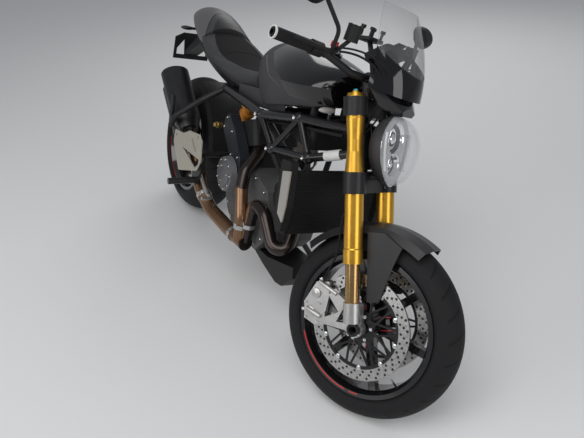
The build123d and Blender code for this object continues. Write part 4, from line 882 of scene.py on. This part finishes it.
# %% Fork adjusters and pinch bolts
adjusters, pinch_bolts = [], []
for side in both:
    adjusters.append(peg((0.030, side * 0.1045, 1.0172), (0, 0, 1), 0.0075, 0.0055, 6, 0.0006))
    for height in (0.735, 0.763):
        pinch_bolts.append(socket_bolt((0.0413, side * 0.070, height), (1, 0, 0), 0.0058, 0.006))
    for height in (0.958, 0.986):
        pinch_bolts.append(socket_bolt((0.0413, side * 0.074, height), (1, 0, 0), 0.0045, 0.005))
piece("fork_adjusters", adjusters, "teal_anodised", "fork", fork)
piece("yoke_pinch_bolts", pinch_bolts, "bolt_steel", "fork", fork)

# %% [markdown]
# Each brake caliper is a silver block with two piston caps, held by long bolts in sleeves that run from it
# towards the fork's foot. Small cap screws join its halves, and two more pinch the axle in the foot.

# %% Calipers
caliper_face = 0.0921
caliper_caps, caliper_bolts, sleeves = [], [], []
for side in both:
    outward = (0, side, 0)
    for x, z in ((-0.104, 0.402), (-0.126, 0.342)):
        caliper_caps.append(peg((x, side * caliper_face, z), outward, 0.0165, 0.0045, 24, 0.0012))
        caliper_caps.append(peg((x, side * 0.0965, z), outward, 0.0165 * 0.55, 0.0014, 6, 0.0005))
    for x, z in ((-0.073, 0.430), (-0.094, 0.370), (-0.100, 0.312), (-0.143, 0.371), (-0.143, 0.322)):
        caliper_bolts.append(socket_bolt((x, side * caliper_face, z), outward, 0.0048, 0.0045))
    for place, direction in (((-0.090, side * 0.085, 0.4385), (-0.1, 0, 1)),
                             ((-0.150, side * 0.085, 0.345), (-1, 0, 0))):
        caliper_bolts.append(socket_bolt(place, direction, 0.0065, 0.012))
    for x, z in ((0.020, 0.286), (0.058, 0.290)):
        caliper_bolts.append(socket_bolt((x, side * 0.1065, z + 0.006), outward, 0.0042, 0.004))
    sleeves.append(peg((1.313, side * 0.0975, 0.370), (0.090, 0, -0.009), 0.0065, 0.072, 18, 0.0012))
    sleeves.append(peg((1.305, side * 0.0975, 0.270), (0.062, 0, -0.003), 0.0065, 0.056, 18, 0.0012))
piece("caliper_piston_caps", caliper_caps, "satin_silver", "fork", fork)
piece("caliper_bolts", caliper_bolts, "bolt_steel", "fork", fork)
piece("caliper_sleeves", sleeves, "satin_silver", "fork", cockpit)

# %% [markdown]
# Exhaust clamps are short steel bands round the pipes where the sections meet, each with a bolt across its
# gap. A band is a small rectangle turned about the pipe's own direction.

# %% Exhaust clamps
clamp_half, clamp_thickness = 0.008, 0.0026
# Columns: place on the pipe, direction of the pipe, radius of the pipe
clamp_rows = (((0.873, -0.1425, 0.330), (0, 0, 1), 0.0243),
              ((0.857, -0.165, 0.318), (0.1, 0, -1), 0.0243),
              ((0.800, -0.1555, 0.2545), (1, 0.06, 0.06), 0.0283),
              ((0.540, -0.1895, 0.2985), (-0.87, -0.13, 0.48), 0.0283),
              ((0.400, -0.2035, 0.4425), (-0.818, -0.024, 0.575), 0.0283))
clamp_outward = Vector((0.1, -1, 0.35)).normalized()
clamps, clamp_bolts = [], []
for place, direction, radius in clamp_rows:
    outer = radius + clamp_thickness
    clamps.append(lathe([(radius, -clamp_half), (outer, -clamp_half), (outer, clamp_half),
                         (radius, clamp_half), (radius, -clamp_half)], aimed(place, direction), 36))
    root = Vector(place) + clamp_outward * (radius + 0.001)
    clamp_bolts.append(peg(root - Vector((0.012, 0, 0)), (1, 0, 0), 0.0042, 0.024, 10, 0.0006))
    clamp_bolts.append(block((0.007, 0.007, 0.014), root, Matrix(), 0.001))
piece("exhaust_clamps", clamps, "satin_silver", "chassis", chassis)
piece("exhaust_clamp_bolts", clamp_bolts, "bolt_steel", "chassis", chassis)

# %% [markdown]
# The round clutch cover has a raised plate with three screws in it and a ring of nine round it. More screws
# follow the edge of the crankcase on both sides and the cover of the cam belts on the right.

# %% Engine bolts and clutch cover plate
clutch_x, clutch_z = 0.660, 0.446
crankcase_face, belt_cover_face = 0.1051, 0.1481
crankcase_rows = ((0.585, 0.345), (0.606, 0.300), (0.650, 0.256), (0.720, 0.248), (0.800, 0.247),
                  (0.880, 0.250), (0.922, 0.296), (0.938, 0.360), (0.925, 0.430), (0.880, 0.468),
                  (0.800, 0.490))
belt_cover_rows = ((0.540, 0.600), (0.556, 0.642), (0.618, 0.606), (0.700, 0.531), (0.709, 0.470),
                   (0.638, 0.520))
engine_bolts = []
for across, up in ring(9, 0.0585, 0.3):
    place = (clutch_x + across, -0.1752, clutch_z + up)
    engine_bolts.append(socket_bolt(place, (0, -1, 0), 0.0045, 0.0045))
for across, up in ring(3, 0.034, 0.1):
    place = (clutch_x + across, -0.1785, clutch_z + up)
    engine_bolts.append(socket_bolt(place, (0, -1, 0), 0.0040, 0.0035))
for x, z in crankcase_rows:
    for side in both:
        engine_bolts.append(socket_bolt((x, side * crankcase_face, z), (0, side, 0), 0.0050, 0.005))
for x, z in belt_cover_rows:
    engine_bolts.append(socket_bolt((x, -belt_cover_face, z), (0, -1, 0), 0.0045, 0.0045))
cover_plate = peg((clutch_x, -0.1750, clutch_z), (0, -1, 0), 0.047, 0.0035, 40, 0.0012)
piece("engine_bolts", engine_bolts, "bolt_steel", "chassis", chassis)
piece("clutch_cover_plate", [cover_plate], "cover_grey", "chassis", chassis)

# %% [markdown]
# Bright bolts stand on the outer side of the frame's joints, where the engine and the tank are held.

# %% Frame bolts
tube_radius = 0.0195
joint_rows = ((1.010, 0.108, 0.800), (1.112, 0.108, 0.700), (0.905, 0.128, 0.650), (0.790, 0.134, 0.736))
frame_bolts = []
for x, y, z in joint_rows:
    for side in both:
        frame_bolts.append(socket_bolt((x, side * (y + tube_radius), z), (0, side, 0), 0.0075, 0.007))
piece("frame_bolts", frame_bolts, "bolt_steel", "chassis", chassis)

# %% [markdown]
# The seat's cover is grained. A pattern of cells, read as the distance to the nearest edge, gives the fine
# creases of leather in the bump of both of its materials.

# %% Leather grain


def leather(finish_name, cells_per_metre, depth):
    """Adds a pattern of small cells to a material's bump."""
    tree = finishes[finish_name].node_tree
    cells = tree.nodes.new("ShaderNodeTexVoronoi")
    cells.feature = "DISTANCE_TO_EDGE"
    cells.inputs["Scale"].default_value = cells_per_metre
    tree.links.new(object_point(tree), cells.inputs["Vector"])
    bumped(tree, tree.nodes["Principled BSDF"], cells.outputs["Distance"], depth, 0.0015)


leather("seat_grey", 420, 0.5)
leather("seat_black", 300, 0.8)
print("seat covers grained")

# %% [markdown]
# The seat is soft. The solid's mesh is long triangles, which can't swell evenly, so it is merged and
# remeshed in even cells of a few millimetres. Its underside and its ends are held, as they are on the base
# plate of a real seat.

# %% Seat cushion, even cells
cell_size = 0.006
low_rear, low_front, rear_part = 0.808, 0.785, 0.3
held_behind, held_ahead = 0.112, 0.575


def applied(thing):
    """Puts the modifiers into the object's mesh."""
    ready = thing.evaluated_get(bpy.context.evaluated_depsgraph_get())
    mesh = bpy.data.meshes.new_from_object(ready)
    thing.modifiers.clear()
    thing.data = mesh


cushion_shape = bmesh.new()
cushion_shape.from_mesh(nodes["seat"].data)
bmesh.ops.remove_doubles(cushion_shape, verts=cushion_shape.verts[:], dist=1e-5)
cushion = new_object("seat_cushion", cushion_shape)
remesh = cushion.modifiers.new("even_cells", "REMESH")
remesh.mode = "VOXEL"
remesh.voxel_size = cell_size
applied(cushion)
to_chassis = chassis.inverted()
held = cushion.vertex_groups.new(name="held")
held_count = 0
for vertex in cushion.data.vertices:
    x, y, z = to_chassis @ vertex.co
    low = z < low_rear if x < rear_part else z < low_front
    if low or x < held_behind or x > held_ahead:
        held.add([vertex.index], 1.0, "REPLACE")
        held_count += 1
print(len(cushion.data.vertices), "points,", held_count, "held")

# %% [markdown]
# The free part swells under a little pressure, as foam does under a tight cover. A short cloth simulation
# finds that form, and no point may move further than a few millimetres, so that the seat keeps its size.

# %% Seat cushion, swelling
pressure = 4
last_frame = 20
largest_move = 0.005
start_places = [vertex.co.copy() for vertex in cushion.data.vertices]
cloth = cushion.modifiers.new("swelling", "CLOTH")
cloth.settings.quality = 4
cloth.settings.use_pressure = True
cloth.settings.uniform_pressure_force = pressure
cloth.settings.effector_weights.gravity = 0
cloth.settings.vertex_group_mass = "held"
cloth.point_cache.frame_end = last_frame
for number in range(1, last_frame + 1):
    scene.frame_set(number)
applied(cushion)
scene.frame_set(1)
for vertex, before in zip(cushion.data.vertices, start_places):
    move = vertex.co - before
    if move.length > largest_move:
        vertex.co = before + move.normalized() * largest_move
print("cushion swollen")

# %% [markdown]
# The seat has a black middle between grey sides. The middle's half width is given by a short table along
# the seat, and a face is black when it lies inside it and looks up. The mesh is made finer first, so that
# the line between the colours runs smoothly.

# %% Seat cushion, colours
# Columns: distance forward, half width of the black middle
middle_rows = ((0.095, 0.062), (0.136, 0.076), (0.190, 0.090), (0.250, 0.097), (0.336, 0.092), (0.420, 0.070),
               (0.500, 0.052), (0.560, 0.045), (0.605, 0.044))


def middle_half(x):
    """Half width of the black middle at a distance forward."""
    for (x0, w0), (x1, w1) in zip(middle_rows, middle_rows[1:]):
        if x0 <= x <= x1:
            return w0 + (w1 - w0) * (x - x0) / (x1 - x0)
    return middle_rows[-1][1] if x > rear_part else middle_rows[0][1]


cushion.data.materials.clear()
for finish_name in ("seat_grey", "seat_black"):
    cushion.data.materials.append(finishes[finish_name])
finer = cushion.modifiers.new("finer", "SUBSURF")
finer.levels = finer.render_levels = 1
applied(cushion)
for face in cushion.data.polygons:
    x, y, z = to_chassis @ face.center
    up = (to_chassis.to_3x3() @ face.normal).z
    face.material_index = int(abs(y) < middle_half(x) and up > 0.2)
    face.use_smooth = True
ridden(cushion, "chassis", None, "seat")
print("seat", len(cushion.data.polygons), "faces")

# %% [markdown]
# A sewn seam follows the line between the colours. Rays from above find the cushion's surface along it, and
# a thin tube is laid through the points that they hit.

# %% Seat seams
bpy.context.view_layer.update()
seam_start, seam_step, seam_points = 0.108, 0.0115, 43


def on_seat(x, y):
    """The point of the cushion's surface above a place in the chassis frame."""
    downwards = chassis.to_3x3() @ Vector((0, 0, -1))
    hit, spot = cushion.ray_cast(chassis @ Vector((x, y, 1.1)), downwards)[:2]
    return spot if hit else chassis @ Vector((x, y, 0.82))


seams = []
for side in both:
    seam_path = []
    for number in range(seam_points):
        x = seam_start + seam_step * number
        seam_path.append(on_seat(x, side * middle_half(x)))
    seams.append(tube(seam_path, 0.0013))
piece("seat_seams", seams, "rubber_black", "chassis")

# %% [markdown]
# The cockpit's small equipment is measured with the steering straight and turned with the fork. The red
# kill switch sits inside the right grip, a white ring closes each end of the bar, and the two round fluid
# reservoirs have a cap with three screws.

# %% Kill switch, bar ends and reservoirs
ring_inner, ring_outer, ring_length = 0.0150, 0.0180, 0.006
reservoir_x, reservoir_y, cap_low, cap_high = 1.172, 0.190, 1.1121, 1.1171
kill_switch = block((0.020, 0.014, 0.018), (1.143, -0.214, 1.0495), Matrix(), 0.003)
light_rings, reservoir_caps = [], []
for side in both:
    bend, end = Vector((1.122, side * 0.230, 1.022)), Vector((1.060, side * 0.392, 1.027))
    along_bar = (end - bend).normalized()
    light_rings.append(lathe([(ring_inner, 0), (ring_outer, 0), (ring_outer + 0.0004, 0.003),
                              (ring_outer, ring_length), (ring_inner, ring_length), (ring_inner, 0)],
                             aimed(bend + along_bar * 0.1662, along_bar), 36))
    cap_foot = (reservoir_x, side * reservoir_y, cap_low)
    reservoir_caps.append(peg(cap_foot, (0, 0, 1), 0.0215, 0.005, 32, 0.0012))
    for across, up in ring(3, 0.015):
        place = (reservoir_x + across, side * reservoir_y + up, cap_high)
        reservoir_caps.append(peg(place, (0, 0, 1), 0.0025, 0.0015, 10))
piece("kill_switch", [kill_switch], "accent_red", "fork", cockpit)
piece("bar_light_rings", light_rings, "white_sleeve", "fork", cockpit)
piece("reservoir_caps", reservoir_caps, "black_plastic", "fork", cockpit)

# %% [markdown]
# Two cables leave each hand control, arch forward over the bar and run down behind the headlight. They are
# short and fixed at both ends, so their path is given and keeps its form when the fork turns.

# %% Control cables
outer_cable = ((1.160, 0.205, 1.036), (1.205, 0.180, 1.050), (1.262, 0.120, 1.030), (1.272, 0.076, 0.960),
               (1.256, 0.064, 0.880), (1.240, 0.052, 0.835))
inner_cable = ((1.150, 0.225, 1.040), (1.215, 0.205, 1.066), (1.285, 0.110, 1.046), (1.290, 0.052, 0.960),
               (1.262, 0.046, 0.868), (1.245, 0.044, 0.835))
cables = []
for side in both:
    for path, radius in ((outer_cable, 0.0032), (inner_cable, 0.0028)):
        cables.append(tube([(x, side * y, z) for x, y, z in path], radius))
piece("control_cables", cables, "rubber_black", "fork", cockpit)

# %% [markdown]
# The mirrors' glass is a shallow turned disc, stretched to the oval of its shell. The display is a thin
# glossy plate on the face of the instruments, and shows nothing because the photograph shows it switched
# off.

# %% Mirror glasses and display
glass_oval = Matrix.Diagonal((1.08, 0.64, 1, 1))
glass_rows = [(0.0001, 0.0012), (0.049, 0.0012), (0.0505, 0.0002)]
dash_normal = (-0.64, 0, 0.77)
dash_middle = Vector((1.188, 0, 1.076))
glasses = []
for side in both:
    mirror_place = Matrix.Translation((1.1028, side * 0.352, 1.1672)) @ aimed((0, 0, 0), (-1, 0, -0.05))
    glasses.append(lathe(glass_rows, mirror_place @ glass_oval, 40))
display = block((0.062, 0.118, 0.0012), dash_middle + 0.0004 * Vector(dash_normal),
                aimed((0, 0, 0), dash_normal), 0.0004)
piece("mirror_glasses", glasses, "mirror_glass", "fork", cockpit)
piece("dash_display", [display], "gloss_black", "fork", cockpit)

# %% [markdown]
# A phone holder stands on the bar: a plate on a bent arm, with four rubber-tipped posts.

# %% Phone holder
plate_middle = (1.132, -0.022, 1.094)
arm_points = ((1.196, -0.030, 0.990), (1.170, -0.028, 1.040), (1.134, -0.022, 1.090))
post_rows = ((1.112, -0.050), (1.118, 0.006), (1.146, -0.052), (1.152, 0.004))
holder = [block((0.050, 0.086, 0.012), plate_middle, turned(radians(-12), "Y"), 0.003),
          tube(arm_points, 0.008)]
for x, y in post_rows:
    holder.append(peg((x, y, 1.099), (0, 0, 1), 0.0045, 0.024, 12, 0.001))
    holder.append(peg((x, y, 1.121), (0, 0, 1), 0.0080, 0.010, 14, 0.002))
piece("phone_holder", holder, "black_plastic", "fork", cockpit)

# %% [markdown]
# The oil cooler lies under the tank, and only the bright ends of its fins show between the frame's tubes.
# Thin blocks in a row stand for the fins, and one dark block behind them for the core.

# %% Oil cooler
cooler_top, cooler_low = Vector((0.772, -0.092, 0.700)), Vector((0.905, -0.092, 0.655))
fin_count = 22
fins = []
for number in range(fin_count):
    middle = cooler_top.lerp(cooler_low, number / (fin_count - 1))
    fins.append(block((0.0016, 0.034, 0.020), middle, turned(radians(18), "Y"), 0.0003))
cooler_length = (cooler_low - cooler_top).length + 0.012
cooler_body = block((cooler_length, 0.030, 0.016), cooler_top.lerp(cooler_low, 0.5),
                    turned(radians(18.7), "Y"), 0.003)
piece("oil_cooler_fins", fins, "satin_silver", "chassis", chassis)
piece("oil_cooler_body", [cooler_body], "core_black", "chassis", chassis)

# %% [markdown]
# A brass switch is screwed in above the clutch cover, by its hexagon, and a white sleeve lies round the
# frame's front tube, just behind the fork.

# %% Brass switch and tube sleeve
switch_direction = (0.2, -1, 0.1)
brass = [peg((0.484, -0.140, 0.584), switch_direction, 0.013, 0.022, 6, 0.001),
         peg((0.488, -0.161, 0.586), switch_direction, 0.009, 0.012, 16, 0.001)]
front_low, front_high = Vector((1.112, -0.108, 0.700)), Vector((1.252, -0.038, 0.775))
tube_line = (front_high - front_low).normalized()
sleeve_inner, sleeve_outer, sleeve_length = 0.0145, 0.0165, 0.058
sleeve = lathe([(sleeve_inner, 0), (sleeve_outer, 0), (sleeve_outer + 0.0005, 0.002),
                (sleeve_outer + 0.0005, sleeve_length - 0.002), (sleeve_outer, sleeve_length),
                (sleeve_inner, sleeve_length), (sleeve_inner, 0)],
               aimed(front_low + tube_line * 0.066, tube_line), 36)
piece("brass_switch", brass, "brass_gold", "chassis", chassis)
piece("tube_sleeve", [sleeve], "white_sleeve", "chassis", chassis)

# %% [markdown]
# A matt panel on each side closes the gap between the seat, the tank and the frame's upper tube. It is one
# thin block, set along the tube.

# %% Side panels
panel_turn = turned(radians(-10), "Y")
panels = [block((0.38, 0.005, 0.066), (0.705, side * 0.103, 0.770), panel_turn, 0.002) for side in both]
piece("side_panels", panels, "matt_grey", "chassis", chassis)

# %% [markdown]
# The radiator's face is a stack of thin fins that follow its slight backward slope, one row above the other.

# %% Radiator fins
fin_pitch, fin_low, radiator_top = 0.0082, 0.462, 0.670
radiator_slope, radiator_face = 0.0727, 1.150
radiator_fins = []
for number in range(24):
    height = fin_low + number * fin_pitch
    face_x = radiator_face + (radiator_top - height) * radiator_slope + 0.0006
    radiator_fins.append(block((0.0016, 0.322, 0.0022), (face_x, 0, height), Matrix(), 0.0004))
piece("radiator_fins", radiator_fins, "casting_black", "chassis", chassis)

# %% [markdown]
# The filler lid has a ring of six screws and a small cap over its lock. They ride on the lid, and so swing
# up with it.

# %% Lid bolts
lid_x, lid_top = 0.930, 1.0143
lid_bolts = [socket_bolt((lid_x + across, up, lid_top), (0, 0, 1), 0.003, 0.002)
             for across, up in ring(6, 0.029, 0.5)]
lid_bolts.append(peg((lid_x, 0, lid_top), (0, 0, 1), 0.008, 0.0015, 24, 0.0004))
piece("lid_bolts", lid_bolts, "bolt_steel", "filler_lid", chassis)

# %% [markdown]
# A wiring loom runs along the inside of each upper frame tube, and a thicker coolant hose from each side of
# the radiator down to the engine. Both are fixed runs along the frame.

# %% Wiring and hoses
loom_path = ((1.205, 0.064, 0.812), (1.110, 0.092, 0.792), (1.010, 0.096, 0.772), (0.900, 0.100, 0.742),
             (0.790, 0.108, 0.712), (0.700, 0.100, 0.690))
hose_path = ((1.130, 0.112, 0.628), (1.060, 0.125, 0.600), (0.990, 0.122, 0.560), (0.960, 0.104, 0.520))
wiring = []
for side in both:
    for path, radius in ((loom_path, 0.0055), (hose_path, 0.0130)):
        wiring.append(tube([(x, side * y, z) for x, y, z in path], radius))
piece("wiring_and_hoses", wiring, "rubber_black", "chassis", chassis)
